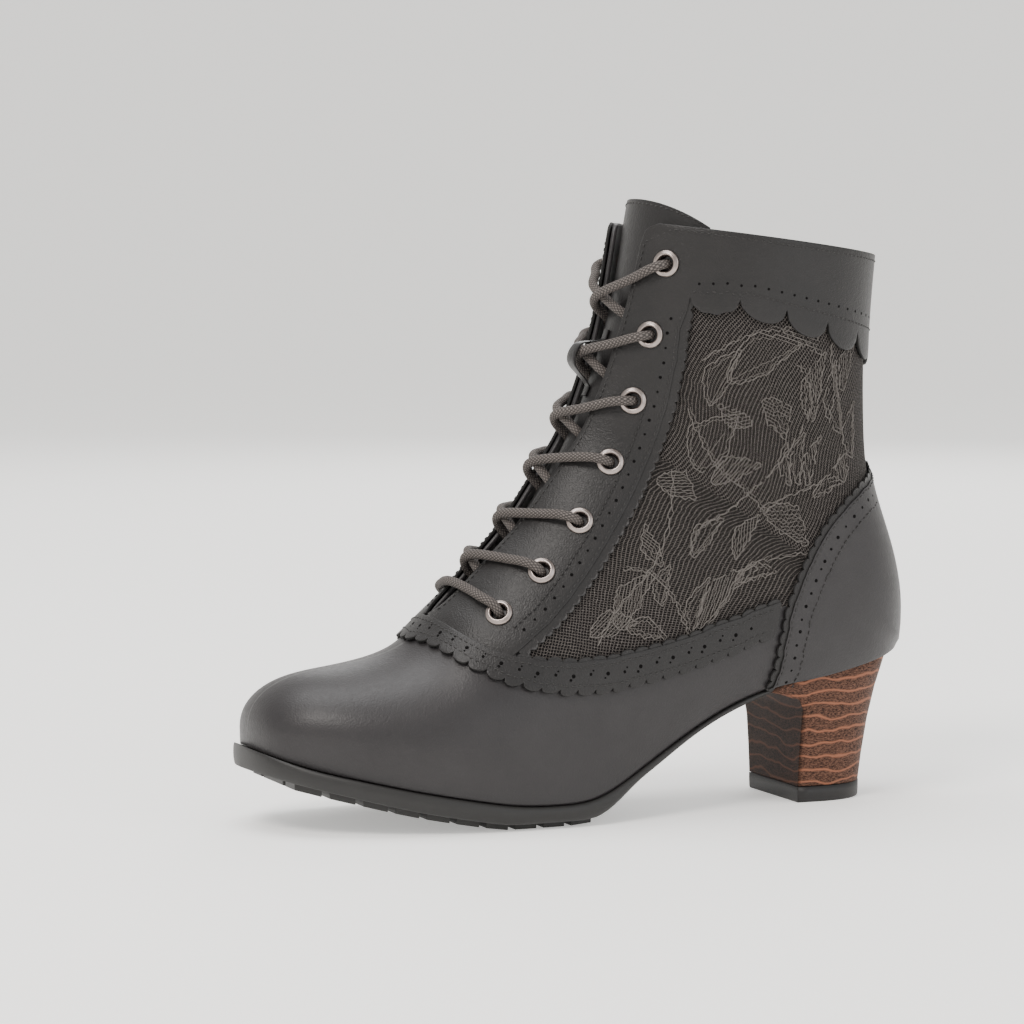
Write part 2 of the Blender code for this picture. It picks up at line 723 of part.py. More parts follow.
def plan_slab(name, rows, bottom, top, finish):
    """A solid between two heights above the seam, over a plan of y, outer and inner half width."""
    points = []
    marks = []
    for y, outer, inner in rows:
        middle = float(centre_x(y))
        across = [0.0] if outer + inner < 1e-6 else [-inner, -inner / 2, 0.0, outer / 2, outer]
        marks.append([])
        for x in across:
            marks[-1].append(len(points))
            points.append((middle + x, y))
        if len(across) == 1:
            marks[-1] = marks[-1] * 5
    faces = []
    for low, high in zip(marks, marks[1:]):
        for j in range(4):
            face = [low[j], low[j + 1], high[j + 1], high[j]]
            face = [v for i, v in enumerate(face) if v != face[i - 1]]
            faces.append(face)
    plan = np.array(points)
    upper = np.column_stack([plan, seam_z(plan[:, 1]) + top])
    lower = np.column_stack([plan, seam_z(plan[:, 1]) + bottom])
    return close_sheet(name, upper, lower, faces, finish)


# Outsole: from the toe to the heel's breast, with a rounded edge, a thin waist and tread lugs
SOLE_BACK = 61.8
# The ball rests between these y; the ledge grows to full width over this length of the toe
BALL_FRONT = -43.0
BALL_BACK = -17.0
LEDGE_BLEND = 12.0
# Edge of the sole, top to bottom: share of its height, how far it is drawn in
SOLE_BEAD = [(1.0, 1.3), (0.86, 0.4), (0.6, 0.0), (0.35, 0.1), (0.12, 0.8), (0.0, 1.9)]
# Places across the tread, as shares of the half width; every second stretch is a lug
TREAD_ACROSS = [-1.0, -0.90, -0.52, -0.42, 0.42, 0.52, 0.90, 1.0]
TREAD_FRONT = -113.0
TREAD_BACK = -8.0
TREAD_ROWS = 10
TREAD_GROOVE = 2.4
# Rows of the sole's mesh in front of the tread and behind it
TOE_STEPS = (0.0, 0.5, 2.0, 4.6, 8.0)
WAIST_STEPS = (0.0, 9.0, 18.0, 28.0, 39.0, 52.0)


def sole_edge(y, index):
    return smooth_through(column(SOLE_EDGE, 0) * LONG, column(SOLE_EDGE, index), y)


def sole_under(y):
    """Height of the sole's underside, flat where the ball rests."""
    resting = (np.asarray(y) > BALL_FRONT * LONG) & (np.asarray(y) < BALL_BACK * LONG)
    return np.where(resting, SOLE_LUG, np.maximum(sole_edge(y, 1) * SEAT, SOLE_LUG))


def sole_half(y, outer):
    """Half width of the sole: the seam's plan, pushed out by the ledge all round the toe."""
    toe = PLAN_TOE - sole_edge(PLAN_TOE, 2)
    share = (y - toe) / (SOLE_BACK * LONG - toe)
    plan = PLAN_TOE + (SOLE_BACK * LONG - PLAN_TOE) * share
    return plan_half(plan, outer) + sole_edge(y, 2) * np.clip((y - toe) / LEDGE_BLEND, 0, 1)


def sole_rows():
    """Stations of the sole's mesh: round at the toe, then grooves and lugs, then the waist."""
    toe = PLAN_TOE - float(sole_edge(PLAN_TOE, 2))
    rows = [toe + step for step in TOE_STEPS]
    pitch = (TREAD_BACK - TREAD_FRONT) * LONG / TREAD_ROWS
    for i in range(TREAD_ROWS):
        start = TREAD_FRONT * LONG + i * pitch
        rows += [start, start + pitch - TREAD_GROOVE]
    rows += [(TREAD_BACK + step) * LONG for step in WAIST_STEPS]
    return rows + [SOLE_BACK * LONG]


def make_outsole(finish):
    rows = sole_rows()
    toe = rows[0]
    points = []
    faces = []

    def add(x, y, z):
        points.append((x, y, z))
        return len(points) - 1

    loops = []
    for y in rows:
        middle = float(centre_x(y))
        high = float(seam_z(y)) - GAP
        low = float(sole_under(y))
        if y == toe:
            ring = [add(middle, y + inset, low + (high - low) * share) for share, inset in SOLE_BEAD]
            loops.append(({1: ring, -1: ring}, [ring[-1]] * len(TREAD_ACROSS)))
            continue
        ring = {}
        for side in (1, -1):
            half = float(sole_half(y, side > 0))
            ring[side] = []
            for share, inset in SOLE_BEAD:
                x = middle + side * (half - min(inset, half * 0.5))
                ring[side].append(add(x, y, low + (high - low) * share))
        inner_x = points[ring[-1][-1]][0]
        outer_x = points[ring[1][-1]][0]
        across = [ring[-1][-1]]
        for share in TREAD_ACROSS[1:-1]:
            side_x = outer_x if share > 0 else inner_x
            across.append(add(middle + (side_x - middle) * abs(share), y, low))
        loops.append((ring, across + [ring[1][-1]]))

    def add_face(marks):
        marks = [v for i, v in enumerate(marks) if v != marks[i - 1]]
        if len(marks) > 2:
            faces.append(marks)

    for i, ((ring, low), (next_ring, next_low)) in enumerate(zip(loops, loops[1:])):
        for j in range(len(SOLE_BEAD) - 1):
            add_face([ring[1][j], ring[1][j + 1], next_ring[1][j + 1], next_ring[1][j]])
            add_face([ring[-1][j + 1], ring[-1][j], next_ring[-1][j], next_ring[-1][j + 1]])
        add_face([ring[-1][0], ring[1][0], next_ring[1][0], next_ring[-1][0]])
        front, back = rows[i], rows[i + 1]
        in_tread = TREAD_FRONT * LONG - 0.1 <= front and back <= TREAD_BACK * LONG + 0.1
        is_row = in_tread and back - front > TREAD_GROOVE + 0.1
        for j in range(len(low) - 1):
            base = [low[j + 1], low[j], next_low[j], next_low[j + 1]]
            if not (is_row and j % 2 == 1):
                add_face(base)
                continue
            foot = [add(*np.subtract(points[v], (0, 0, SOLE_LUG))) for v in base]
            faces.append(foot)
            for a in range(4):
                b = (a + 1) % 4
                faces.append([base[a], base[b], foot[b], foot[a]])
    ring, low = loops[-1]
    faces.append([*ring[1], *low[-2:0:-1], *ring[-1][::-1]])
    return add_object("outsole", points, faces, finish)


# Share of the heel's length where its plan starts to round, and how square the round is
HEEL_ROUND_START = 0.28
HEEL_ROUND_POWER = 2 / 2.35
HEEL_BREAST_WIDTH = 0.985


def d_outline(front, back, half, count):
    """A heel's plan: straight across the breast, round at the back. Points run round from the
    outer breast corner to the inner one."""
    centre = front + (back - front) * HEEL_ROUND_START
    points = []
    for i in range(count + 1):
        angle = math.pi / 2 * i / count
        x = half * math.cos(angle) ** HEEL_ROUND_POWER
        y = centre + (back - centre) * math.sin(angle) ** HEEL_ROUND_POWER
        points.append((x, y))
    side = [(half * HEEL_BREAST_WIDTH, front), *points]
    return side + [(-x, y) for x, y in reversed(side[:-1])]


HEEL_COUNT = 9


def stack_rings(name, rings, finish):
    """A solid through rings of equal count, closed by strips across its two ends."""
    count = len(rings[0])
    points = [point for ring in rings for point in ring]
    faces = [list(range(count))[::-1]]
    for r in range(len(rings) - 1):
        for i in range(count):
            a = r * count + i
            b = r * count + (i + 1) % count
            faces.append([a, b, b + count, a + count])
    last = len(points) - count
    for i in range(count // 2):
        a, b = last + i, last + count - 1 - i
        faces.append([a, a + 1, b - 1, b] if b - 1 > a + 1 else [a, a + 1, b])
    return add_object(name, points, faces, finish)


# Heel: stacked leather, its top hollowed to the seat of the boot
def make_heel(finish):
    rings = []
    for i, (front, front_z, back, back_z, half) in enumerate(HEEL_ROWS):
        front, back, half = front * LONG, back * LONG, half * WIDE
        ring = []
        for x, y in d_outline(front, back, half, HEEL_COUNT):
            share = (y - front) / (back - front)
            z = (front_z + (back_z - front_z) * share) * SEAT
            if i == 0:
                z = LIFT_HEIGHT
            if i == len(HEEL_ROWS) - 1:
                z = float(seam_z(y)) - GAP
            ring.append((x, y, z))
        rings.append(ring)
    return stack_rings("heel", rings, finish)


# Top lift: the rubber piece under the heel
# Its profile: height, how far it stands out past the heel
LIFT_PROFILE = [(0.0, -0.7), (1.0, 0.0), (LIFT_HEIGHT - GAP, 0.15)]


def make_lift(finish):
    front, _, back, _, half = HEEL_ROWS[0]
    rings = []
    for z, grow in LIFT_PROFILE:
        outline = d_outline(front * LONG - grow / 2, back * LONG + grow, half * WIDE + grow, HEEL_COUNT)
        rings.append([(x, y, z) for x, y in outline])
    return stack_rings("top_lift", rings, finish)


def frame_on_wall(station, turn):
    """Point, axis out of the wall, axis along the boot and axis round it."""
    out = wall_normal(station, turn)
    along = wall_point(station + 0.5, turn) - wall_point(station - 0.5, turn)
    along -= out * np.dot(along, out)
    along /= np.linalg.norm(along)
    return wall_point(station, turn), out, along, np.cross(along, out)


# Eyelets: a rounded metal ring over each hole of the facings
# Ring's profile: radius as a share of its width, height above the facing
EYELET_PROFILE = [(0.0, 0.0), (1.0, 0.0), (0.72, 1.1), (0.22, 1.0)]
EYELET_SIDES = 8
EYELET_STAND = OVERLAY_OUTSIDE + GAP + 0.15
# Clear way between an eyelet's ring and the lace's cut end
EYELET_CLEAR = GAP + 0.2


def eyelet_spots(side):
    return [spot(*placed(y, z), side) for y, z in EYELETS]


def make_eyelet(name, place, finish):
    base, out, along, across = frame_on_wall(*place)
    hole = EYELET_HOLE / 2
    band = EYELET_OUTSIDE / 2 - hole
    points = []
    for i in range(EYELET_SIDES):
        angle = math.tau * i / EYELET_SIDES
        spoke = along * math.cos(angle) + across * math.sin(angle)
        for share, height in EYELET_PROFILE:
            points.append(base + spoke * (hole + band * share) + out * (EYELET_STAND + height))
    faces = []
    count = len(EYELET_PROFILE)
    for i in range(EYELET_SIDES):
        j = (i + 1) % EYELET_SIDES
        for k in range(count):
            m = (k + 1) % count
            faces.append([i * count + m, j * count + m, j * count + k, i * count + k])
    return add_object(name, points, faces, finish)


# Laces: in each row two strands cross, the outer one on top; the lowest eyelets share a bar
LACE_SIDES = 6
TUBE_LIFT = (0.0, -0.35, 0.94)
LACE_RIM = 4.2
LACE_SAG = 4.0
OVER_FACING = OVERLAY_OUTSIDE + LACE_DIAMETER / 2 + GAP + 0.1
# Heights of a strand's middle above the wall: at the crossing on top, below, and where it dives
CROSS_TOP = 3.4
CROSS_LOW = 0.6
DIVE = -2.5
RIM_LIFT = 0.4
BAR_DROP = 0.2
STRAND_KNOTS = [0.0, 0.3, 0.56, 1.0]


def tube(points, radius, sides):
    """Rings and faces of a closed tube round a line of points."""
    line = np.array(points)
    way = np.gradient(line, axis=0)
    way /= np.linalg.norm(way, axis=1, keepdims=True)
    lift = np.array(TUBE_LIFT)
    rings = []
    for centre, ahead in zip(line, way):
        a = np.cross(ahead, lift)
        a /= np.linalg.norm(a)
        b = np.cross(ahead, a)
        for k in range(sides):
            angle = math.tau * k / sides
            rings.append(centre + radius * (a * math.cos(angle) + b * math.sin(angle)))
    faces = [list(range(sides))[::-1], [len(rings) - sides + k for k in range(sides)]]
    for r in range(len(line) - 1):
        for k in range(sides):
            a = r * sides + k
            b = r * sides + (k + 1) % sides
            faces.append([a, b, b + sides, a + sides])
    return rings, faces


def strand_line(start, end, heights, first, last, steps=9):
    """Middle line of a strand over the wall, from one eyelet towards another."""
    points = []
    for i in range(steps):
        share = first + (last - first) * i / (steps - 1)
        station = start[0] + (end[0] - start[0]) * share - LACE_SAG * math.sin(math.pi * share)
        turn = start[1] + (end[1] - start[1]) * share
        height = float(smooth_through(STRAND_KNOTS, heights, share))
        points.append(off_wall(station, turn, height))
    return points


def rim_share(start, end):
    """Share of the way between two eyelets at which a strand reaches the far facing's rim."""
    share = np.linspace(0.5, 1, 201)
    station = start[0] + (end[0] - start[0]) * share - LACE_SAG * np.sin(math.pi * share)
    turn = start[1] + (end[1] - start[1]) * share
    beyond = np.abs(turn) >= np.abs(throat_turn(station, 1 if end[1] > 0 else -1))
    return float(share[np.argmax(beyond)])


def join(name, objects):
    """One solid from objects that overlap."""
    kept = objects[0]
    for other in objects[1:]:
        union = kept.modifiers.new("join", "BOOLEAN")
        union.operation = "UNION"
        union.solver = "EXACT"
        union.object = other
        other.hide_render = True
        other.display_type = "WIRE"
    kept.name = name
    return kept


def make_laces(finish):
    outer = eyelet_spots(1)
    inner = eyelet_spots(-1)
    radius = LACE_DIAMETER / 2
    for i in range(len(EYELETS) - 1):
        strands = []
        ways = (outer[i], inner[i + 1], CROSS_TOP), (inner[i], outer[i + 1], CROSS_LOW)
        for start, end, middle in ways:
            length = np.linalg.norm(wall_point(*start) - wall_point(*end))
            first = (EYELET_OUTSIDE / 2 + EYELET_CLEAR) / length
            last = rim_share(start, end) - LACE_RIM / length
            heights = [OVER_FACING, OVER_FACING + RIM_LIFT, middle, DIVE]
            points, faces = tube(strand_line(start, end, heights, first, last), radius, LACE_SIDES)
            strands.append(add_object(f"strand_{i + 1}", points, faces, finish))
        join(f"lace_crossing_{i + 1}", strands)
    middle = OVER_FACING - BAR_DROP
    heights = [OVER_FACING, middle, middle, OVER_FACING]
    length = np.linalg.norm(wall_point(*outer[-1]) - wall_point(*inner[-1]))
    first = (EYELET_OUTSIDE / 2 + EYELET_CLEAR) / length
    points, faces = tube(strand_line(outer[-1], inner[-1], heights, first, 1 - first), radius, LACE_SIDES)
    add_object("lace_bar", points, faces, finish)


# Lace keeper: a narrow strap on the tongue that bridges the second crossing
KEEPER_WIDTH = 4.2
KEEPER_THICK = 0.9
# Share of the way from the second eyelets down to the third, height of its underside
KEEPER_LINE = [
    (0.10, -TONGUE_DEPTH + GAP),
    (0.26, -TONGUE_DEPTH + GAP),
    (0.42, 3.9),
    (0.55, 6.1),
    (0.78, 6.1),
    (0.90, 3.8),
    (1.06, -TONGUE_DEPTH + GAP),
    (1.20, -TONGUE_DEPTH + GAP),
]


def make_keeper(finish):
    high = eyelet_spots(1)[1][0]
    low = eyelet_spots(1)[2][0]
    under = []
    over = []
    for share, height in KEEPER_LINE:
        station = high + (low - high) * share
        reach = float(turn_at(KEEPER_WIDTH / 2, section_at(station, True)[4]))
        for turn in (-reach, reach):
            under.append(off_wall(station, turn, height))
            over.append(off_wall(station, turn, height + KEEPER_THICK))
    faces = [[2 * i + 2, 2 * i + 3, 2 * i + 1, 2 * i] for i in range(len(KEEPER_LINE) - 1)]
    return close_sheet("lace_keeper", np.array(over), np.array(under), faces, finish)


MATERIALS = {
    "smooth_leather": ((0.060, 0.059, 0.062), 0.5, 0.0),
    "overlay_leather": ((0.060, 0.059, 0.062), 0.5, 0.0),
    "lining_board": ((0.10, 0.085, 0.07), 0.8, 0.0),
    "sole_rubber": ((0.075, 0.075, 0.078), 0.6, 0.0),
    "stacked_leather": ((0.15, 0.068, 0.040), 0.45, 0.0),
    "lift_rubber": ((0.02, 0.02, 0.02), 0.7, 0.0),
    "gunmetal": ((0.22, 0.20, 0.19), 0.35, 1.0),
    "lace_cord": ((0.05, 0.048, 0.05), 0.8, 0.0),
}


def clear_scene():
    for old in list(bpy.data.objects):
        bpy.data.objects.remove(old, do_unlink=True)


clear_scene()
FINISH = {name: material(name, *values) for name, values in MATERIALS.items()}
make_upper(FINISH["smooth_leather"])
make_tongue(FINISH["smooth_leather"])
make_insole(FINISH["lining_board"])
make_outsole(FINISH["sole_rubber"])
make_heel(FINISH["stacked_leather"])
make_lift(FINISH["lift_rubber"])
make_collar(FINISH["overlay_leather"])
make_band(FINISH["overlay_leather"])
make_counter(FINISH["overlay_leather"])
for label, side in (("outer", 1), ("inner", -1)):
    for number, place in enumerate(eyelet_spots(side), 1):
        make_eyelet(f"eyelet_{label}_{number}", place, FINISH["gunmetal"])
make_laces(FINISH["lace_cord"])
make_keeper(FINISH["smooth_leather"])
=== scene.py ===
# Looks of the victorian lace-up boot, left foot. Lengths here are millimetres, and MM makes metres.
# The toe points to -Y, the outer side to +X, and the floor is z = 0.
import math

import bpy
import numpy as np
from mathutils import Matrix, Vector


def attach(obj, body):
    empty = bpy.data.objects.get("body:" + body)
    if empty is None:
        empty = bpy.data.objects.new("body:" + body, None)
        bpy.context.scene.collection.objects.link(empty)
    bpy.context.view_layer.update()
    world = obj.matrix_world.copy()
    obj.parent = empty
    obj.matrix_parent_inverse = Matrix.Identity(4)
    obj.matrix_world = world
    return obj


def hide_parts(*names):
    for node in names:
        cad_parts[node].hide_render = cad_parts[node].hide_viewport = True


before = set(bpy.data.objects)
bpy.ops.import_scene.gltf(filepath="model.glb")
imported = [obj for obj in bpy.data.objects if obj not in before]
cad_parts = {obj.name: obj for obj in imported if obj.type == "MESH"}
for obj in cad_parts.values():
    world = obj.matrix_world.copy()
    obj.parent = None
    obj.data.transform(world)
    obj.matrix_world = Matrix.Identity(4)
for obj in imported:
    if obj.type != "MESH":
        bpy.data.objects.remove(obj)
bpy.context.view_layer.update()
MM = 0.001


# Insole: a leather board that follows the plan of the foot, with a brown cloth sock glued over it.
# Its edge is turned down all round, and it only shows from above, through the collar.

# Driving sizes of the boot, and how far each stretches the drawn tables
BOOT_LENGTH = 250.0
BALL_WIDTH = 77.5
HEEL_SEAT = 56.0
LONG = BOOT_LENGTH / 250.0
WIDE = BALL_WIDTH / 77.5
SEAT = HEEL_SEAT / 56.0
# Plan of the seam between upper and sole: y, half width outside, half width inside
PLAN = [
    (-122.3, 0.0, 0.0),
    (-119.5, 15.5, 14.5),
    (-110.7, 24.8, 22.8),
    (-93.0, 33.3, 30.0),
    (-75.0, 37.2, 33.8),
    (-56.0, 38.5, 35.4),
    (-38.0, 38.3, 34.4),
    (-20.0, 37.6, 31.0),
    (0.0, 34.7, 26.2),
    (20.0, 30.3, 22.4),
    (41.0, 27.0, 22.0),
    (60.0, 26.5, 24.0),
    (80.0, 27.3, 26.0),
    (96.0, 26.2, 25.6),
    (108.0, 22.5, 22.2),
    (116.4, 14.0, 14.0),
    (121.2, 0.0, 0.0),
]
# Swing of the last: y, x of its centre line
SWING = [(-125.0, -8.0), (-95.0, -5.5), (-75.0, -3.5), (-50.0, -1.3), (-20.0, 0.0), (125.0, 0.0)]
# Side view of the seam between upper and sole: y, z
SEAM = [
    (-125.0, 29.2),
    (-112.7, 24.4),
    (-94.8, 19.7),
    (-75.0, 15.2),
    (-55.0, 11.3),
    (-37.0, 8.6),
    (-25.0, 8.2),
    (-10.0, 9.6),
    (6.6, 17.3),
    (24.0, 27.0),
    (41.0, 35.7),
    (60.0, 42.8),
    (80.0, 46.8),
    (100.0, 51.2),
    (124.0, 56.2),
]
SPLINE_BENDS = {}


def smooth_through(knots, values, at):
    """Natural cubic spline through the knots, read at one place or at an array of places."""
    x = np.asarray(knots, float)
    y = np.asarray(values, float)
    span = np.diff(x)
    count = len(x)
    key = (x.tobytes(), y.tobytes())
    if key not in SPLINE_BENDS:
        system = np.eye(count)
        known = np.zeros((count,) + y.shape[1:])
        for i in range(1, count - 1):
            system[i, i - 1 : i + 2] = span[i - 1], 2 * (span[i - 1] + span[i]), span[i]
            known[i] = 3 * ((y[i + 1] - y[i]) / span[i] - (y[i] - y[i - 1]) / span[i - 1])
        SPLINE_BENDS[key] = np.linalg.solve(system, known)
    bend = SPLINE_BENDS[key]
    at = np.clip(np.asarray(at, float), x[0], x[-1])
    k = np.clip(np.searchsorted(x, at) - 1, 0, count - 2)
    d = at - x[k]
    s = span[k]
    if y.ndim > 1:
        d = d[..., None]
        s = s[..., None]
    slope = (y[k + 1] - y[k]) / s - s * (2 * bend[k] + bend[k + 1]) / 3
    return y[k] + slope * d + bend[k] * d**2 + (bend[k + 1] - bend[k]) / (3 * s) * d**3


def column(rows, index):
    return np.array([row[index] for row in rows], float)


def seam_z(y):
    """Height of the seam between upper and sole."""
    return SEAT * smooth_through(column(SEAM, 0) * LONG, column(SEAM, 1), y)


def centre_x(y):
    return WIDE * smooth_through(column(SWING, 0) * LONG, column(SWING, 1), y)


PLAN_TOE = PLAN[0][0] * LONG
PLAN_BACK = PLAN[-1][0] * LONG


def plan_angle(y):
    """Angle round the plan, 0 at the toe and pi at the back, which keeps both ends round."""
    half = (PLAN_BACK - PLAN_TOE) / 2
    return np.arccos(np.clip(((PLAN_BACK + PLAN_TOE) / 2 - np.asarray(y, float)) / half, -1, 1))


def plan_y(angle):
    return (PLAN_BACK + PLAN_TOE) / 2 - (PLAN_BACK - PLAN_TOE) / 2 * np.cos(angle)


def plan_half(y, outer):
    """Half width of the seam's plan, on the outer or on the inner side."""
    angles = plan_angle(column(PLAN, 0) * LONG)
    return np.maximum(WIDE * smooth_through(angles, column(PLAN, 1 if outer else 2), plan_angle(y)), 0)


def linear(hex_colour):
    """sRGB hex to linear."""
    channels = [int(hex_colour[i : i + 2], 16) / 255 for i in (1, 3, 5)]
    return [c / 12.92 if c <= 0.04045 else ((c + 0.055) / 1.055) ** 2.4 for c in channels] + [1.0]


def add_node(tree, kind, inputs=None, **settings):
    """Adds a node with its settings; an input is a value, or a socket to link."""
    node = tree.nodes.new(kind)
    for name, value in settings.items():
        setattr(node, name, value)
    for key, value in (inputs or {}).items():
        if isinstance(value, bpy.types.NodeSocket):
            tree.links.new(value, node.inputs[key])
        else:
            node.inputs[key].default_value = value
    return node


def new_finish(name, roughness, metallic=0.0, **sockets):
    made = bpy.data.materials.new(name)
    made.use_nodes = True
    shader = made.node_tree.nodes["Principled BSDF"]
    shader.inputs["Roughness"].default_value = roughness
    shader.inputs["Metallic"].default_value = metallic
    for key, value in sockets.items():
        shader.inputs[key.replace("_", " ")].default_value = value
    return made, made.node_tree, shader


def noise(tree, vector, scale, detail):
    return add_node(tree, "ShaderNodeTexNoise", {"Vector": vector, "Scale": scale, "Detail": detail})


def mottled_finish(name, roughness, dark, light, size, detail=4.0, metallic=0.0, **sockets):
    """A finish whose colour drifts between two shades over a real size in millimetres."""
    made, tree, shader = new_finish(name, roughness, metallic, **sockets)
    place = add_node(tree, "ShaderNodeTexCoord").outputs["Object"]
    drift = noise(tree, place, 1000 / size, detail).outputs["Fac"]
    mix = add_node(tree, "ShaderNodeMix", {"Factor": drift}, data_type="RGBA")
    mix.inputs["A"].default_value = linear(dark)
    mix.inputs["B"].default_value = linear(light)
    tree.links.new(mix.outputs["Result"], shader.inputs["Base Color"])
    return made, tree, shader, place


def set_bump(tree, shader, height, depth):
    bump = add_node(tree, "ShaderNodeBump", {"Height": height, "Strength": 1.0, "Distance": depth * MM})
    tree.links.new(bump.outputs["Normal"], shader.inputs["Normal"])


def lining_cloth(name, dark, light):
    """Brushed textile lining: matt, with a fine nap."""
    made, tree, shader, place = mottled_finish(name, 0.9, dark, light, 2.5, 6.0,
                                               Sheen_Weight=0.3, Sheen_Roughness=0.6)
    set_bump(tree, shader, noise(tree, place, 1000 / 0.7, 4.0).outputs["Fac"], 0.12)
    return made


SOCK = lining_cloth("sock_lining", "#4a3a2e", "#5c4a3b")


SIDES = {1: "outer", -1: "inner"}


def new_piece(name, points, faces, finishes, slots=None, smooth=True, **attributes):
    """A mesh object from points in millimetres. slots gives each face's place in finishes."""
    mesh = bpy.data.meshes.new(name)
    mesh.from_pydata((np.asarray(points, float) * MM).tolist(), [], faces)
    for finish in finishes:
        mesh.materials.append(finish)
    if slots is not None:
        mesh.polygons.foreach_set("material_index", np.asarray(slots, np.int32))
    mesh.polygons.foreach_set("use_smooth", np.full(len(faces), smooth))
    for key, values in attributes.items():
        values = np.asarray(values, float)
        kind = "FLOAT" if values.ndim == 1 else "FLOAT_VECTOR"
        layer = mesh.attributes.new(key, kind, "POINT")
        layer.data.foreach_set("value" if kind == "FLOAT" else "vector", values.ravel())
    mesh.update()
    made = bpy.data.objects.new(name, mesh)
    bpy.context.scene.collection.objects.link(made)
    return made


def dress(piece, slot, *nodes):
    """The piece rides on the boot and stands for its solids; slot is not used."""
    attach(piece, "root")
    if nodes:
        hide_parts(*nodes)
    return piece


def grid_faces(rows, columns, start=0, ring=False):
    """Quads of a grid of points held row by row; ring joins the last column to the first."""
    faces = []
    for r in range(rows - 1):
        for c in range(columns if ring else columns - 1):
            a = start + r * columns + c
            b = start + r * columns + (c + 1) % columns
            faces.append((a, b, b + columns, a + columns))
    return faces


INSOLE_INSET = 2.9
INSOLE_THICK = 2.4
INSOLE_LIFT = 0.05


def make_insole():
    """Board with a cloth sock glued on, its edge turned down all round."""
    rows, columns = 90, 25
    points = []
    angles = np.linspace(0, math.pi, rows)
    shorter = 1 - 2 * INSOLE_INSET / (PLAN_BACK - PLAN_TOE)
    for level in (0, 1):
        for angle in angles:
            y = float(plan_y(angle))
            y_in = PLAN_TOE + INSOLE_INSET + (y - PLAN_TOE) * shorter
            outer = max(float(plan_half(y, True)) - INSOLE_INSET, 0.02)
            inner = max(float(plan_half(y, False)) - INSOLE_INSET, 0.02)
            for share in np.linspace(-1, 1, columns):
                x = float(centre_x(y_in)) + (outer if share > 0 else inner) * math.sin(share * math.pi / 2)
                top = INSOLE_LIFT + INSOLE_THICK - 0.9 * abs(share) ** 14
                points.append((x, y_in, float(seam_z(y_in)) + (top if level == 0 else INSOLE_LIFT)))
    count = rows * columns
    top = grid_faces(rows, columns)
    bottom = [tuple(i + count for i in face[::-1]) for face in top]
    rim = [r * columns for r in range(rows)]
    far = [r * columns + columns - 1 for r in range(rows)]
    sides = [(rim[r], rim[r + 1], rim[r + 1] + count, rim[r] + count) for r in range(rows - 1)]
    sides += [(far[r + 1], far[r], far[r] + count, far[r + 1] + count) for r in range(rows - 1)]
    ends = [(c + 1, c, c + count, c + 1 + count) for c in range(columns - 1)]
    last = count - columns
    ends += [(last + c, last + c + 1, last + c + 1 + count, last + c + count) for c in range(columns - 1)]
    return new_piece("sock_lining", points, top + bottom + sides + ends, [SOCK])


dress(make_insole(), "lining_board", "insole")


# Outsole: moulded rubber, cemented to the lasted upper. Matt, with a rounded bead all round, tread
# lugs under the ball and a thin waist that runs up to the heel's breast.
GAP = 0.3
SOLE_LUG = 2.3
# Sole edge: y, z of its underside, how far it stands out past the upper
SOLE_EDGE = [
    (-125.0, 21.2, 2.4),
    (-111.3, 17.3, 2.4),
    (-94.5, 13.0, 2.3),
    (-75.0, 8.2, 2.2),
    (-54.4, 4.2, 2.1),
    (-42.0, 2.3, 2.0),
    (-18.0, 2.3, 1.9),
    (-9.9, 3.0, 1.8),
    (-3.0, 6.2, 1.6),
    (6.0, 12.9, 1.3),
    (16.0, 19.0, 1.1),
    (26.0, 25.0, 0.9),
    (41.7, 33.2, 0.5),
    (61.8, 41.0, 0.0),
]


def round_edges(piece, width, segments=2, angle=40):
    bevel = piece.modifiers.new("rounded", "BEVEL")
    bevel.width = width * MM
    bevel.segments = segments
    bevel.limit_method = "ANGLE"
    bevel.angle_limit = math.radians(angle)
    bevel.harden_normals = False


def moulded_rubber(name, dark, light, roughness, depth):
    made, tree, shader, place = mottled_finish(name, roughness, dark, light, 9.0, Specular_IOR_Level=0.4)
    set_bump(tree, shader, noise(tree, place, 1000 / 0.5, 3.0).outputs["Fac"], depth)
    return made


SOLE_RUBBER = moulded_rubber("moulded_sole_rubber", "#181717", "#201f1e", 0.5, 0.05)
SOLE_BACK = 61.8
BALL_FRONT = -43.0
BALL_BACK = -17.0
LEDGE_BLEND = 12.0
SOLE_BEAD = [(1.0, 1.3), (0.95, 0.75), (0.86, 0.4), (0.74, 0.12), (0.6, 0.0), (0.45, 0.03),
             (0.3, 0.25), (0.16, 0.7), (0.06, 1.25), (0.0, 1.9)]
TREAD_ACROSS = [-1.0, -0.90, -0.52, -0.42, 0.42, 0.52, 0.90, 1.0]
TREAD_FRONT = -113.0
TREAD_BACK = -8.0
TREAD_ROWS = 10
TREAD_GROOVE = 2.4


def sole_edge(y, index):
    return smooth_through(column(SOLE_EDGE, 0) * LONG, column(SOLE_EDGE, index), y)


def sole_under(y):
    resting = (np.asarray(y) > BALL_FRONT * LONG) & (np.asarray(y) < BALL_BACK * LONG)
    return np.where(resting, SOLE_LUG, np.maximum(sole_edge(y, 1) * SEAT, SOLE_LUG))


def sole_half(y, outer):
    toe = PLAN_TOE - sole_edge(PLAN_TOE, 2)
    share = (y - toe) / (SOLE_BACK * LONG - toe)
    plan = PLAN_TOE + (SOLE_BACK * LONG - PLAN_TOE) * share
    return plan_half(plan, outer) + sole_edge(y, 2) * np.clip((y - toe) / LEDGE_BLEND, 0, 1)


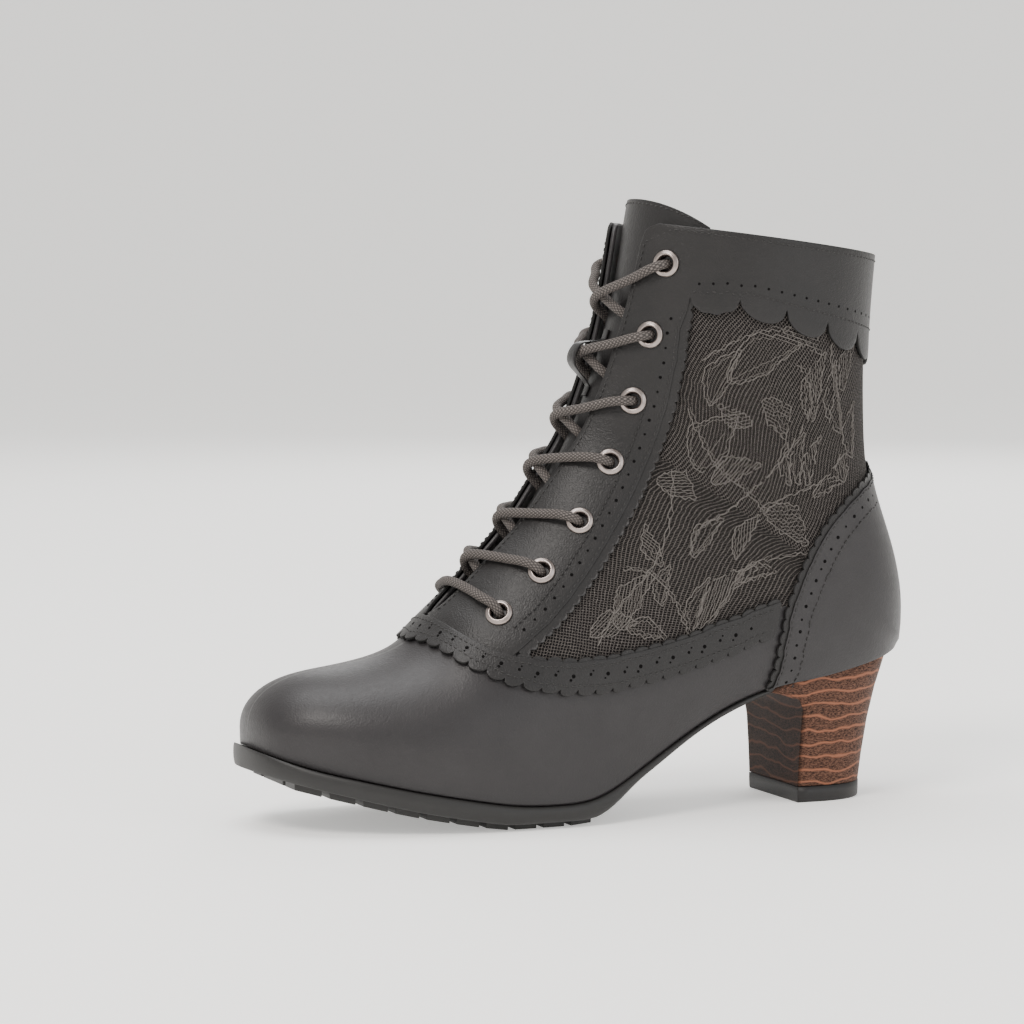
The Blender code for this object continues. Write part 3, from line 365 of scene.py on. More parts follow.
def sole_rows():
    """Stations of the sole's mesh, fine at the toe, with a row at each lug's ends."""
    toe = PLAN_TOE - float(sole_edge(PLAN_TOE, 2))
    rows = list(toe + np.linspace(0.02, 1, 16) ** 2.2 * (TREAD_FRONT * LONG - 0.8 - toe))
    pitch = (TREAD_BACK - TREAD_FRONT) * LONG / TREAD_ROWS
    for i in range(TREAD_ROWS):
        start = TREAD_FRONT * LONG + i * pitch
        end = start + pitch - TREAD_GROOVE
        rows += [start, (2 * start + end) / 3, (start + 2 * end) / 3, end, end + TREAD_GROOVE / 2]
    return rows + list(np.linspace(TREAD_BACK * LONG, SOLE_BACK * LONG, 26))


def make_outsole():
    rows = sole_rows()
    points = []
    faces = []
    for y in rows:
        middle = float(centre_x(y))
        high = float(seam_z(y)) - GAP
        low = float(sole_under(y))
        loop = []
        for side in SIDES:
            half = float(sole_half(y, side > 0))
            bead = [(middle + side * (half - min(inset, half * 0.5)), low + (high - low) * share)
                    for share, inset in SOLE_BEAD]
            loop.append(bead if side > 0 else bead[::-1])
        ends = (loop[0][-1][0] - middle, loop[1][0][0] - middle)
        under = [(middle + abs(share) * ends[0 if share > 0 else 1], low) for share in TREAD_ACROSS[1:-1]]
        ring = loop[0] + under[::-1] + loop[1]
        points += [(x, y, z) for x, z in ring]
    wide = len(ring)
    faces += [face[::-1] for face in grid_faces(len(rows), wide, ring=True)]
    faces.append(tuple(range(wide)))
    faces.append(tuple(len(points) - 1 - i for i in range(wide)))
    sole = new_piece("moulded_outsole", points, faces, [SOLE_RUBBER])
    round_edges(sole, 0.25, 2, 45)
    return sole


dress(make_outsole(), "sole_rubber", "outsole")


def make_lugs():
    """Tread lugs, one block a place, with their edges broken."""
    points = []
    faces = []
    pitch = (TREAD_BACK - TREAD_FRONT) * LONG / TREAD_ROWS
    for i in range(TREAD_ROWS):
        start = TREAD_FRONT * LONG + i * pitch
        ends = (start, start + pitch - TREAD_GROOVE)
        for low_share, high_share in ((-0.90, -0.52), (-0.42, 0.42), (0.52, 0.90)):
            base = len(points)
            for lift in (0.3, -SOLE_LUG):
                for y in ends:
                    for share in (low_share, high_share):
                        half = float(sole_half(y, share > 0)) - SOLE_BEAD[-1][1]
                        x = float(centre_x(y)) + half * share
                        points.append((x, y, float(sole_under(y)) + lift))
            box = ((0, 1, 3, 2), (4, 6, 7, 5), (0, 4, 5, 1), (1, 5, 7, 3), (3, 7, 6, 2), (2, 6, 4, 0))
            faces += [tuple(base + i for i in face) for face in box]
    lugs = new_piece("tread_lugs", points, faces, [SOLE_RUBBER], smooth=False)
    round_edges(lugs, 0.3, 2)
    return lugs


dress(make_lugs(), "sole_rubber")


# Heel: a block covered in stacked leather, layer on layer, sanded and waxed. Each joint between
# layers shows as a thin orange-brown wavy line. Its breast is plain leather of the same brown,
# made darker with painted shade on the faces turned to the toe.
LIFT_HEIGHT = 6.0
# Heel, bottom to top: front y, front z, back y, back z, half width
HEEL_ROWS = [
    (76.5, 6.0, 107.6, 6.0, 20.0),
    (76.5, 15.0, 108.8, 15.8, 20.8),
    (76.5, 27.0, 110.8, 28.6, 22.4),
    (76.2, 34.2, 113.6, 41.0, 24.4),
    (74.2, 38.0, 115.8, 47.6, 25.7),
    (69.5, 40.2, 117.4, 51.6, 26.4),
    (62.3, 41.2, 118.6, 54.2, 26.8),
    (62.3, 42.2, 119.0, 55.2, 27.0),
]


def maths(tree, operation, *values):
    """One sum on sockets and numbers."""
    node = add_node(tree, "ShaderNodeMath", dict(enumerate(values)), operation=operation)
    return node.outputs["Value"]


def colour_ramp(tree, factor, *stops):
    """Colour that runs through stops of position and shade."""
    ramp = add_node(tree, "ShaderNodeValToRGB", {"Fac": factor})
    elements = ramp.color_ramp.elements
    elements[0].position = stops[0][0]
    elements[0].color = linear(stops[0][1])
    elements[1].position = stops[-1][0]
    elements[1].color = linear(stops[-1][1])
    for position, shade in stops[1:-1]:
        elements.new(position).color = linear(shade)
    return ramp.outputs["Color"]


def end_caps(count, sides, start=0):
    """Faces that close both ends of a tube of rings, held ring by ring."""
    last = start + (count - 1) * sides
    return [tuple(start + k for k in range(sides))[::-1], tuple(last + k for k in range(sides))]


HEEL_ROUND_START = 0.28
HEEL_ROUND_POWER = 2 / 2.35
HEEL_BREAST_WIDTH = 0.985
HEEL_RINGS = 64
HEEL_AROUND = 24
LAYER = 4.7
LAYER_WAVE = 1.1
LAYER_TILT = 0.06


def d_outline(front, back, half, count):
    """Plan of the heel: straight across the breast, round at the back."""
    centre = front + (back - front) * HEEL_ROUND_START
    points = []
    for i in range(count + 1):
        angle = math.pi / 2 * i / count
        x = half * math.cos(angle) ** HEEL_ROUND_POWER
        y = centre + (back - centre) * math.sin(angle) ** HEEL_ROUND_POWER
        points.append((x, y))
    corner = half * HEEL_BREAST_WIDTH
    side = [(corner * share, front) for share in (0.0, 0.3, 0.6, 0.85, 0.97)]
    side += [(corner, front), (corner + (points[0][0] - corner) * 0.5, (front + centre) / 2), *points]
    return side + [(-x, y) for x, y in reversed(side[1:-1])]


def stacked_leather():
    made, tree, shader = new_finish("stacked_heel_leather", 0.6, Specular_IOR_Level=0.12)
    place = add_node(tree, "ShaderNodeTexCoord").outputs["Object"]
    layer = add_node(tree, "ShaderNodeAttribute", attribute_name="layer").outputs["Fac"]
    stretch = add_node(tree, "ShaderNodeMapping", {"Vector": place, "Scale": (1.0, 1.0, 3.5)})
    wave = noise(tree, place, 1000 / 13, 1.5).outputs["Fac"]
    phase = maths(tree, "FRACT", maths(tree, "MULTIPLY_ADD", wave, 1.5, layer))
    far = maths(tree, "ABSOLUTE", maths(tree, "SUBTRACT", phase, 0.5))
    line = add_node(tree, "ShaderNodeMapRange", {"Value": far, "From Min": 0.0, "From Max": 0.15,
                                                 "To Min": 1.0, "To Max": 0.0},
                    interpolation_type="SMOOTHSTEP")
    grain = noise(tree, stretch.outputs["Vector"], 1000 / 1.1, 6.0)
    grain.inputs["Roughness"].default_value = 0.75
    spots = colour_ramp(tree, grain.outputs["Fac"], (0.42, "#1e1410"), (0.6, "#6b4b3d"))
    lines = add_node(tree, "ShaderNodeMix", {"Factor": line.outputs["Result"], "A": spots,
                                             "B": linear("#8a5a45")}, data_type="RGBA")
    # Painted shade: faces turned to the toe, the heel's breast, are darkened down to 0.3 of their colour.
    facing = add_node(tree, "ShaderNodeNewGeometry").outputs["Normal"]
    forward = add_node(tree, "ShaderNodeSeparateXYZ", {"Vector": facing}).outputs["Y"]
    painted_breast_shade = add_node(tree, "ShaderNodeMapRange", {"Value": forward, "From Min": -0.75, "From Max": -0.55,
                                                  "To Min": 0.3, "To Max": 1.0})
    shaded_heel_colour = add_node(tree, "ShaderNodeVectorMath",
                       {0: lines.outputs["Result"], "Scale": painted_breast_shade.outputs["Result"]}, operation="SCALE")
    tree.links.new(shaded_heel_colour.outputs["Vector"], shader.inputs["Base Color"])
    set_bump(tree, shader, grain.outputs["Fac"], 0.08)
    return made


def make_heel():
    table = np.array(HEEL_ROWS, float)
    shares = np.linspace(0, 1, HEEL_RINGS)
    heights = LIFT_HEIGHT + (table[-1, 3] - LIFT_HEIGHT) * shares
    levels = np.column_stack([np.interp(heights, table[:, 3], table[:, k]) for k in range(5)])
    points = []
    layer = []
    for i, (front, front_z, back, back_z, half) in enumerate(levels):
        for x, y in d_outline(front * LONG, back * LONG, half * WIDE, HEEL_AROUND):
            share = (y - front * LONG) / ((back - front) * LONG)
            z = (front_z + (back_z - front_z) * share) * SEAT
            if i == 0:
                z = LIFT_HEIGHT
            z = min(z, float(seam_z(y)) - GAP)
            if i == HEEL_RINGS - 1:
                z = float(seam_z(y)) - GAP
            points.append((x, y, z))
            layer.append((z - LAYER_TILT * (y - 90.0) + LAYER_WAVE * math.sin(x / 9.0)) / LAYER)
    wide = len(points) // HEEL_RINGS
    faces = grid_faces(HEEL_RINGS, wide, ring=True)
    faces += end_caps(HEEL_RINGS, wide)
    heel = new_piece("stacked_heel", points, faces, [STACKED], layer=layer)
    heel.data.polygons.foreach_set("use_smooth", [True] * (len(faces) - 2) + [False, False])
    return heel


STACKED = stacked_leather()
dress(make_heel(), "stacked_leather", "heel")


# Top lift: the black rubber piece pinned under the heel, the only part of it that wears. It stands
# out a little past the stacked leather, and its lower edge is worn round.
LIFT_RUBBER = moulded_rubber("heel_lift_rubber", "#161515", "#1f1d1d", 0.5, 0.06)
LIFT_PROFILE = [(0.0, -0.7), (0.25, -0.2), (0.8, 0.0), (3.0, 0.1), (LIFT_HEIGHT - GAP, 0.15)]


def make_lift():
    front, _, back, _, half = HEEL_ROWS[0]
    points = []
    for z, grow in LIFT_PROFILE:
        outline = d_outline(front * LONG - grow / 2, back * LONG + grow, half * WIDE + grow, HEEL_AROUND)
        points += [(x, y, z) for x, y in outline]
    wide = len(outline)
    faces = grid_faces(len(LIFT_PROFILE), wide, ring=True)
    faces += end_caps(len(LIFT_PROFILE), wide)
    return new_piece("rubber_top_lift", points, faces, [LIFT_RUBBER])


dress(make_lift(), "lift_rubber", "top_lift")


# Upper: vamp and quarters of smooth leather, lasted over the form and lined with cloth. The side
# panels are lace cloth: a net of grey thread over a dark backing.
INSTEP_RISE = 148.0
WALL = 1.8
RISE = INSTEP_RISE / 148.0
# Sections of the last, toe to collar. Each leans from a point on the front ridge to one on the
# sole seam, or on the back seam where low z is given. Depths are shares of a section's depth.
# top y, top z, low y, low z, half width outside, half width inside, widest depth, fullness behind
SECTIONS = [
    (-122.3, 28.6, -122.3, None, 0.0, 0.0, 0.60, 2.0),
    (-121.6, 37.2, -121.6, None, 8.2, 7.8, 0.60, 2.0),
    (-119.4, 43.0, -119.4, None, 16.4, 15.4, 0.60, 2.0),
    (-114.0, 48.2, -114.6, None, 23.2, 21.6, 0.62, 2.0),
    (-104.5, 52.2, -105.5, None, 29.8, 27.4, 0.64, 2.0),
    (-90.0, 54.8, -91.0, None, 35.4, 32.2, 0.66, 2.0),
    (-74.5, 58.2, -75.0, None, 38.8, 35.4, 0.68, 2.0),
    (-64.5, 63.2, -58.0, None, 40.2, 37.0, 0.68, 2.0),
    (-57.5, 70.0, -42.0, None, 40.3, 37.2, 0.67, 2.1),
    (-49.4, 78.0, -24.0, None, 39.6, 36.2, 0.66, 2.3),
    (-38.5, 90.0, 0.0, None, 37.8, 33.8, 0.62, 2.6),
    (-27.1, 103.0, 32.0, None, 35.8, 32.6, 0.60, 2.9),
    (-17.8, 117.0, 64.0, None, 34.6, 32.4, 0.60, 3.1),
    (-12.0, 126.5, 90.0, None, 34.0, 32.6, 0.60, 3.2),
    (-8.4, 133.0, 107.0, None, 33.8, 32.8, 0.60, 3.2),
    (-6.0, 138.0, 118.0, None, 33.8, 33.0, 0.59, 3.2),
    (-4.2, 142.0, 121.2, 56.0, 34.0, 33.2, 0.58, 3.2),
    (-1.0, 150.0, 121.5, 70.0, 34.2, 33.6, 0.57, 3.1),
    (2.2, 158.0, 117.5, 89.0, 34.8, 34.2, 0.56, 2.9),
    (5.4, 166.5, 110.0, 112.0, 35.6, 35.2, 0.54, 2.6),
    (8.6, 176.5, 107.4, 136.0, 37.0, 36.6, 0.52, 2.4),
    (12.0, 190.5, 107.5, 166.0, 38.4, 38.2, 0.51, 2.2),
    (15.2, 208.0, 109.8, 195.3, 39.4, 39.4, 0.50, 2.1),
]
HEEL_SECTION = 16
# Half width of the throat between the facings: z on the front ridge, half width
THROAT = [
    (71.0, 0.0),
    (72.2, 2.6),
    (75.0, 4.2),
    (80.0, 5.2),
    (104.0, 7.2),
    (132.0, 9.2),
    (163.0, 11.2),
    (201.0, 14.2),
    (204.6, 15.0),
    (206.8, 16.8),
    (208.0, 19.6),
]
# Edges on the outer side, as drawn from the side: y, z
FACING_BACK = [
    (-36.0, 58.6),
    (-28.0, 64.7),
    (-14.5, 77.5),
    (1.6, 97.8),
    (14.6, 118.2),
    (23.0, 139.2),
    (27.8, 167.0),
    (28.6, 181.6),
]
CUFF_BOTTOM = [(28.6, 181.6), (42.9, 180.9), (65.3, 175.8), (91.0, 168.9), (107.5, 163.5)]
BAND_TOP = [
    (-57.2, 70.3),
    (-54.7, 68.0),
    (-49.8, 63.9),
    (-43.1, 60.7),
    (-30.9, 58.0),
    (-19.5, 57.3),
    (-7.1, 57.9),
    (5.8, 59.8),
    (31.4, 66.0),
    (61.3, 75.3),
]
COUNTER_FRONT = [
    (58.2, 43.2),
    (60.2, 52.0),
    (61.2, 60.5),
    (63.0, 70.0),
    (68.2, 83.4),
    (74.6, 95.8),
    (83.4, 107.0),
    (96.2, 115.6),
    (109.0, 120.6),
]


def placed(y, z):
    """A drawn side-view point at the driving sizes: heights ride on the sole seam below them."""
    drawn_seam = smooth_through(column(SEAM, 0), column(SEAM, 1), y)
    return np.asarray(y, float) * LONG, SEAT * drawn_seam + RISE * (np.asarray(z, float) - drawn_seam)


def section_table():
    """The sections at the driving sizes, with the seam's height filled in."""
    rows = []
    for top_y, top_z, low_y, low_z, outer, inner, widest, fullness in SECTIONS:
        top = placed(top_y, top_z)
        low = (low_y * LONG, seam_z(low_y * LONG)) if low_z is None else placed(low_y, low_z)
        rows.append((*top, *low, outer * WIDE, inner * WIDE, widest, fullness))
    return np.array(rows, float)


TABLE = section_table()


def section_stations():
    """Distance along the boot at each section: the mean of its top point's and low point's way."""
    top = TABLE[:, 0:2]
    side = [plan_half(y, True) if i < HEEL_SECTION else 0.0 for i, y in enumerate(TABLE[:, 2])]
    low = np.column_stack([TABLE[:, 2:4], side])
    step = np.linalg.norm(np.diff(top, axis=0), axis=1) + np.linalg.norm(np.diff(low, axis=0), axis=1)
    return np.concatenate([[0], np.cumsum(step / 2)])


STATIONS = section_stations()
HEEL_STATION = STATIONS[HEEL_SECTION]
COLLAR_STATION = STATIONS[-1]
FOOT_ANGLES = plan_angle(TABLE[: HEEL_SECTION + 1, 2])


def section_at(station, outer):
    """Top y, top z, low y, low z, half width, half width at the seam, widest depth, fullness."""
    station = np.asarray(station, float)
    row = smooth_through(STATIONS, TABLE[:, [0, 1, 4 if outer else 5, 6, 7]], station)
    foot = smooth_through(STATIONS[: HEEL_SECTION + 1], FOOT_ANGLES, station)
    back = smooth_through(STATIONS[HEEL_SECTION:], TABLE[HEEL_SECTION:, 2:4], station)
    in_foot = station <= HEEL_STATION
    foot_y = plan_y(foot)
    low_y = np.where(in_foot, foot_y, back[..., 0])
    low_z = np.where(in_foot, seam_z(foot_y), back[..., 1])
    low_half = np.where(in_foot, plan_half(foot_y, outer), 0)
    wide = np.maximum(row[..., 2], low_half * 1.02 + 1e-6)
    return row[..., 0], row[..., 1], low_y, low_z, wide, low_half, row[..., 3], row[..., 4]


# Turn at which every section is widest
WIDEST_TURN = 0.6


def turn_at(across, wide):
    """Turn of the point in front of the widest place that lies this far from the centre line."""
    return WIDEST_TURN * np.arcsin(np.clip(across / wide, 0, 0.95)) / (math.pi / 2)


def wall_side(station, turn, outer):
    top_y, top_z, low_y, low_z, wide, low_half, widest, fullness = section_at(station, outer)
    in_front = turn <= WIDEST_TURN
    theta = math.pi / 2 * np.clip(turn / WIDEST_TURN, 0, 1)
    sweep = np.arccos(np.clip(low_half / wide, 0, 0.985))
    cut = np.sin(sweep)
    share = np.sin(sweep * np.clip((turn - WIDEST_TURN) / (1 - WIDEST_TURN), 0, 1)) / cut
    down = np.where(in_front, widest * (1 - np.cos(theta)), widest + (1 - widest) * share)
    y = top_y + (low_y - top_y) * down
    z = top_z + (low_z - top_z) * down
    behind = np.sqrt(np.clip(1 - cut**2 * share**fullness, 0, 1))
    across = wide * np.where(in_front, np.sin(theta), behind)
    return np.stack([centre_x(y) + (across if outer else -across), y, z], -1)


def wall_point(station, turn):
    """Outer face of the plain upper. turn is 0 on the front ridge and runs to +1 on the outer
    side and -1 on the inner side, at the sole seam or the back seam."""
    station, turn = np.broadcast_arrays(np.asarray(station, float), np.asarray(turn, float))
    outer = wall_side(station, np.abs(turn), True)
    inner = wall_side(station, np.abs(turn), False)
    return np.where((turn >= 0)[..., None], outer, inner)


def wall_normal(station, turn):
    station, turn = np.broadcast_arrays(np.asarray(station, float), np.asarray(turn, float))
    ahead = np.clip(station + 0.25, 0.6, COLLAR_STATION)
    behind = np.clip(station - 0.25, 0.3, COLLAR_STATION)
    middle = (ahead + behind) / 2
    along = wall_point(ahead, turn) - wall_point(behind, turn)
    more, less = np.clip(turn + 2e-3, -1, 1), np.clip(turn - 2e-3, -1, 1)
    round_it = wall_point(middle, more) - wall_point(middle, less)
    normal = np.cross(round_it, along)
    return normal / np.linalg.norm(normal, axis=-1, keepdims=True)


def off_wall(station, turn, distance):
    distance = np.asarray(distance, float)
    if distance.ndim:
        distance = distance[..., None]
    return wall_point(station, turn) + wall_normal(station, turn) * distance


THROAT_Z = [placed(-20.0, row[0])[1] for row in THROAT]


def throat_turn(station, side):
    """Turn at which the facing's edge lies."""
    top_z = section_at(station, side > 0)[1]
    half = np.interp(top_z, THROAT_Z, column(THROAT, 1), left=0.0)
    return side * turn_at(half, section_at(station, side > 0)[4])


def grained_leather(name, dark, light, grain, depth, roughness):
    """Corrected-grain cowhide, pressed with a fine pebble: soft broken highlights, a little sheen."""
    made, tree, shader, place = mottled_finish(name, roughness, dark, light, 14.0, Specular_IOR_Level=0.32)
    scale = 1000 / grain
    warp = noise(tree, place, scale / 3, 3.0).outputs["Fac"]
    pebble = add_node(tree, "ShaderNodeTexVoronoi", {"Vector": place, "Scale": scale, "Randomness": 1.0},
                      feature="SMOOTH_F1")
    set_bump(tree, shader, maths(tree, "ADD", pebble.outputs["Distance"], warp), depth)
    rough = add_node(tree, "ShaderNodeMapRange", {"Value": warp, "To Min": roughness - 0.07,
                                                  "To Max": roughness + 0.08})
    tree.links.new(rough.outputs["Result"], shader.inputs["Roughness"])
    return made


VAMP_LEATHER = grained_leather("smooth_calf_leather", "#232122", "#2e2c2d", 0.6, 0.06, 0.42)
LINING = lining_cloth("brushed_lining", "#1d1a18", "#2a2622")
NET_PITCH = 1.1
NET_LEANS = (0.62, -0.8)
# Bands of the wave texture lie 0.314 apart at a scale of 1
WAVE_BAND = 0.314


def crossed_waves(tree, vector, leans, pitch, **inputs):
    """Two sets of parallel threads that cross, at a real pitch in millimetres."""
    waves = []
    for angle in leans:
        leaned = add_node(tree, "ShaderNodeVectorRotate", {"Vector": vector, "Angle": angle},
                          rotation_type="Z_AXIS")
        settings = {key.replace("_", " "): value for key, value in inputs.items()}
        wave = add_node(tree, "ShaderNodeTexWave", {"Vector": leaned.outputs["Vector"],
                                                    "Scale": WAVE_BAND / pitch, **settings})
        waves.append(wave.outputs["Fac"])
    return waves


def lace_cloth():
    made, tree, shader = new_finish("lace_net_over_backing", 0.8, Specular_IOR_Level=0.15)
    flat = add_node(tree, "ShaderNodeAttribute", attribute_name="flat").outputs["Vector"]
    pull = noise(tree, flat, 1 / 18, 2.0)
    centred = add_node(tree, "ShaderNodeVectorMath", {0: pull.outputs["Color"], 1: (0.5, 0.5, 0.5)},
                       operation="SUBTRACT")
    drawn = add_node(tree, "ShaderNodeVectorMath",
                     {0: centred.outputs["Vector"], 1: (2.5, 2.5, 0.0), 2: flat},
                     operation="MULTIPLY_ADD").outputs["Vector"]
    net = crossed_waves(tree, drawn, NET_LEANS, NET_PITCH, Distortion=0.4, Detail=1.0, Detail_Scale=1.5)
    fuzz = noise(tree, flat, 1 / 0.45, 3.0).outputs["Fac"]
    total = maths(tree, "MULTIPLY_ADD", fuzz, 0.9, maths(tree, "MAXIMUM", *net))
    shade = colour_ramp(tree, maths(tree, "MULTIPLY", total, 0.66),
                        (0.62, "#070606"), (0.85, "#2b2725"), (1.0, "#5f5a57"))
    tree.links.new(shade, shader.inputs["Base Color"])
    set_bump(tree, shader, total, 0.5)
    return made


LACE_CLOTH = lace_cloth()
UPPER_ROWS = 230
UPPER_ACROSS = 84
# How far the lace cloth runs on under the leather that borders it
UNDERLAP = 2.5


def side_table(rows):
    table = np.array([placed(y, z) for y, z in rows])
    return table[:, 0], table[:, 1]


def is_lace(y, z):
    """Side-view places that the lace cloth covers, its hidden underlap included."""
    back_y, back_z = side_table(FACING_BACK)
    cuff_y, cuff_z = side_table(CUFF_BOTTOM)
    band_y, band_z = side_table(BAND_TOP)
    front_y, front_z = side_table(COUNTER_FRONT)
    behind = y > np.interp(z, back_z, back_y) - UNDERLAP
    below = z < np.interp(y, cuff_y, cuff_z) + UNDERLAP
    above = z > np.interp(y, band_y, band_z) - UNDERLAP
    ahead = (y < np.interp(z, front_z, front_y) + UNDERLAP) | (z > front_z[-1] - UNDERLAP)
    return behind & below & above & ahead


def wall_grid(stations, turns_of, side, offset):
    """Rows of wall points, and their place along and round the boot in millimetres."""
    station = np.repeat(np.asarray(stations)[:, None], len(turns_of(stations[0])), axis=1)
    turn = np.array([turns_of(s) for s in stations])
    points = off_wall(station, turn, offset)
    step = np.linalg.norm(np.diff(points, axis=1), axis=2)
    round_it = np.concatenate([np.zeros((len(stations), 1)), np.cumsum(step, axis=1)], axis=1)
    round_it -= round_it[:, -1:]
    flat = np.stack([round_it, station, np.full_like(station, 40.0 * side)], axis=-1)
    return points, flat


def make_upper():
    stations = np.concatenate([
        np.linspace(0.35, STATIONS[2], 22, endpoint=False),
        np.linspace(STATIONS[2], COLLAR_STATION, UPPER_ROWS - 22),
    ])
    shares = np.linspace(0, 1, UPPER_ACROSS)
    points = []
    flats = []
    faces = []
    slots = []
    start = 0
    for side in SIDES:
        for level in (0.0, -WALL):
            def turns(station):
                edge = float(throat_turn(station, side))
                return edge + (side - edge) * shares
            laid, flat = wall_grid(stations, turns, side, level)
            grid = grid_faces(len(stations), UPPER_ACROSS, start)
            if (side > 0) == (level < 0):
                grid = [face[::-1] for face in grid]
            centre = laid[:-1, :-1, :] / 2 + laid[1:, 1:, :] / 2
            lace = is_lace(centre[..., 1].ravel(), centre[..., 2].ravel())
            slots += [2] * len(grid) if level < 0 else np.where(lace, 1, 0).tolist()
            points.append(laid.reshape(-1, 3))
            flats.append(flat.reshape(-1, 3))
            faces += grid
            start += laid.shape[0] * laid.shape[1]
    count = len(stations) * UPPER_ACROSS
    for base, side in ((0, 1), (2 * count, -1)):
        for edge in (0, UPPER_ACROSS - 1):
            for r in range(len(stations) - 1):
                if edge and stations[r] > HEEL_STATION:
                    continue
                a = base + r * UPPER_ACROSS + edge
                quad = (a, a + UPPER_ACROSS, a + UPPER_ACROSS + count, a + count)
                faces.append(quad if (edge == 0) == (side > 0) else quad[::-1])
                slots.append(0)
        last = base + (len(stations) - 1) * UPPER_ACROSS
        for c in range(UPPER_ACROSS - 1):
            quad = (last + c, last + c + 1, last + c + 1 + count, last + c + count)
            faces.append(quad if side > 0 else quad[::-1])
            slots.append(0)
    finishes = [VAMP_LEATHER, LACE_CLOTH, LINING]
    upper = new_piece("lasted_upper", np.concatenate(points), faces, finishes, slots,
                      flat=np.concatenate(flats))
    weld = upper.modifiers.new("closed", "WELD")
    weld.merge_threshold = 0.02 * MM
    return upper


dress(make_upper(), "smooth_leather", "upper")


# Lace motifs: petals and leaves outlined on the net by a raised cord, with stems between them.
# Some are darned full of parallel thread. Each thread is a thin tube that lies on the wall.
def running_length(points):
    """Way along a line of points, from 0 at its start."""
    steps = np.linalg.norm(np.diff(points, axis=0), axis=1)
    return np.concatenate([[0], np.cumsum(steps)])


def read_along(at, way, values):
    """Values held at ways along a line, read at other ways."""
    return np.stack([np.interp(at, way, values[:, k]) for k in range(values.shape[1])], -1)


GRID_STATIONS, GRID_TURNS = np.meshgrid(
    np.linspace(1, COLLAR_STATION, 260), np.linspace(0, 1, 90), indexing="ij"
)
GRID = {side: wall_point(GRID_STATIONS, GRID_TURNS * side) for side in SIDES}
STATION_STEP = 0.5
TURN_STEP = 0.004
MOST_STATIONS = 4.0
MOST_TURN = 0.04


def spots_at(places, side):
    """Stations and turns of the wall's points that have these y and z in side view."""
    places = np.asarray(places, float)
    near = [np.argmin((GRID[side][..., 1] - y) ** 2 + (GRID[side][..., 2] - z) ** 2) for y, z in places]
    found = np.column_stack([GRID_STATIONS.flat[near], GRID_TURNS.flat[near]])
    for _ in range(6):
        station, turn = found.T
        here = wall_point(station, turn * side)[:, 1:]
        ahead = wall_point(np.minimum(station + STATION_STEP, COLLAR_STATION), turn * side)[:, 1:]
        aside = wall_point(station, np.minimum(turn + TURN_STEP, 1) * side)[:, 1:]
        slopes = np.stack([(ahead - here) / STATION_STEP, (aside - here) / TURN_STEP], axis=-1)
        move = np.einsum("nij,nj->ni", np.linalg.pinv(slopes, rcond=0.02), places - here)
        move = np.clip(move, (-MOST_STATIONS, -MOST_TURN), (MOST_STATIONS, MOST_TURN))
        found = np.clip(found + move, (0.5, 0), (COLLAR_STATION, 0.999))
    return found * (1, side)


LACE_THREAD = mottled_finish("raised_lace_thread", 0.7, "#3a3634", "#75706c", 0.7, 3.0,
                             Specular_IOR_Level=0.2)[0]
DARN_THREAD = 0.16
OUTLINE_THREAD = 0.24
DARN_SPACING = 1.05
THREAD_STEP = 1.0
THREAD_SIDES = 4
THREAD_SUNK = 0.6
# A drawn place further than this from the wall lies past its silhouette
OFF_WALL_MOST = 0.8
# Leaves and petals of a panel: side-view y and z of the middle, length, width, direction, darned
LACE_LEAVES = [
    (45.0, 120.0, 19.0, 8.0, 0.31, True),
    (63.0, 101.0, 23.0, 10.0, -0.70, True),
    (58.0, 139.0, 17.0, 9.0, -1.05, True),
    (24.0, 115.0, 15.0, 9.0, -0.52, True),
    (38.0, 131.0, 24.0, 15.0, 0.95, False),
    (69.0, 125.0, 19.0, 4.5, 1.48, False),
    (64.0, 124.0, 17.0, 4.0, 1.65, False),
    (74.0, 124.0, 18.0, 4.5, 1.30, True),
    (87.0, 121.0, 10.0, 6.0, 1.40, True),
    (80.0, 114.0, 13.0, 5.0, 0.35, False),
    (6.0, 77.0, 25.0, 9.0, 0.87, True),
    (-3.0, 68.0, 18.0, 8.0, 0.20, True),
    (9.0, 66.0, 16.0, 7.0, -0.30, False),
    (17.0, 82.0, 15.0, 6.0, 1.25, False),
    (14.0, 96.0, 15.0, 6.0, 1.90, True),
    (41.0, 77.0, 32.0, 8.0, 0.70, True),
    (30.0, 74.0, 22.0, 6.0, 1.20, False),
    (52.0, 84.0, 17.0, 6.0, 0.15, False),
    (49.0, 98.0, 18.0, 6.0, 0.96, True),
    (34.0, 98.0, 18.0, 7.0, 0.80, False),
    (54.0, 159.0, 30.0, 14.0, 0.44, False),
    (40.0, 154.0, 22.0, 9.0, 1.10, False),
    (75.0, 150.0, 26.0, 8.0, 1.35, True),
    (84.0, 146.0, 26.0, 7.0, 1.70, False),
    (90.0, 158.0, 22.0, 6.0, 1.20, True),
    (68.0, 166.0, 18.0, 7.0, -0.50, True),
    (92.0, 134.0, 20.0, 6.0, 1.50, False),
    (44.0, 141.0, 14.0, 6.0, 2.60, True),
]
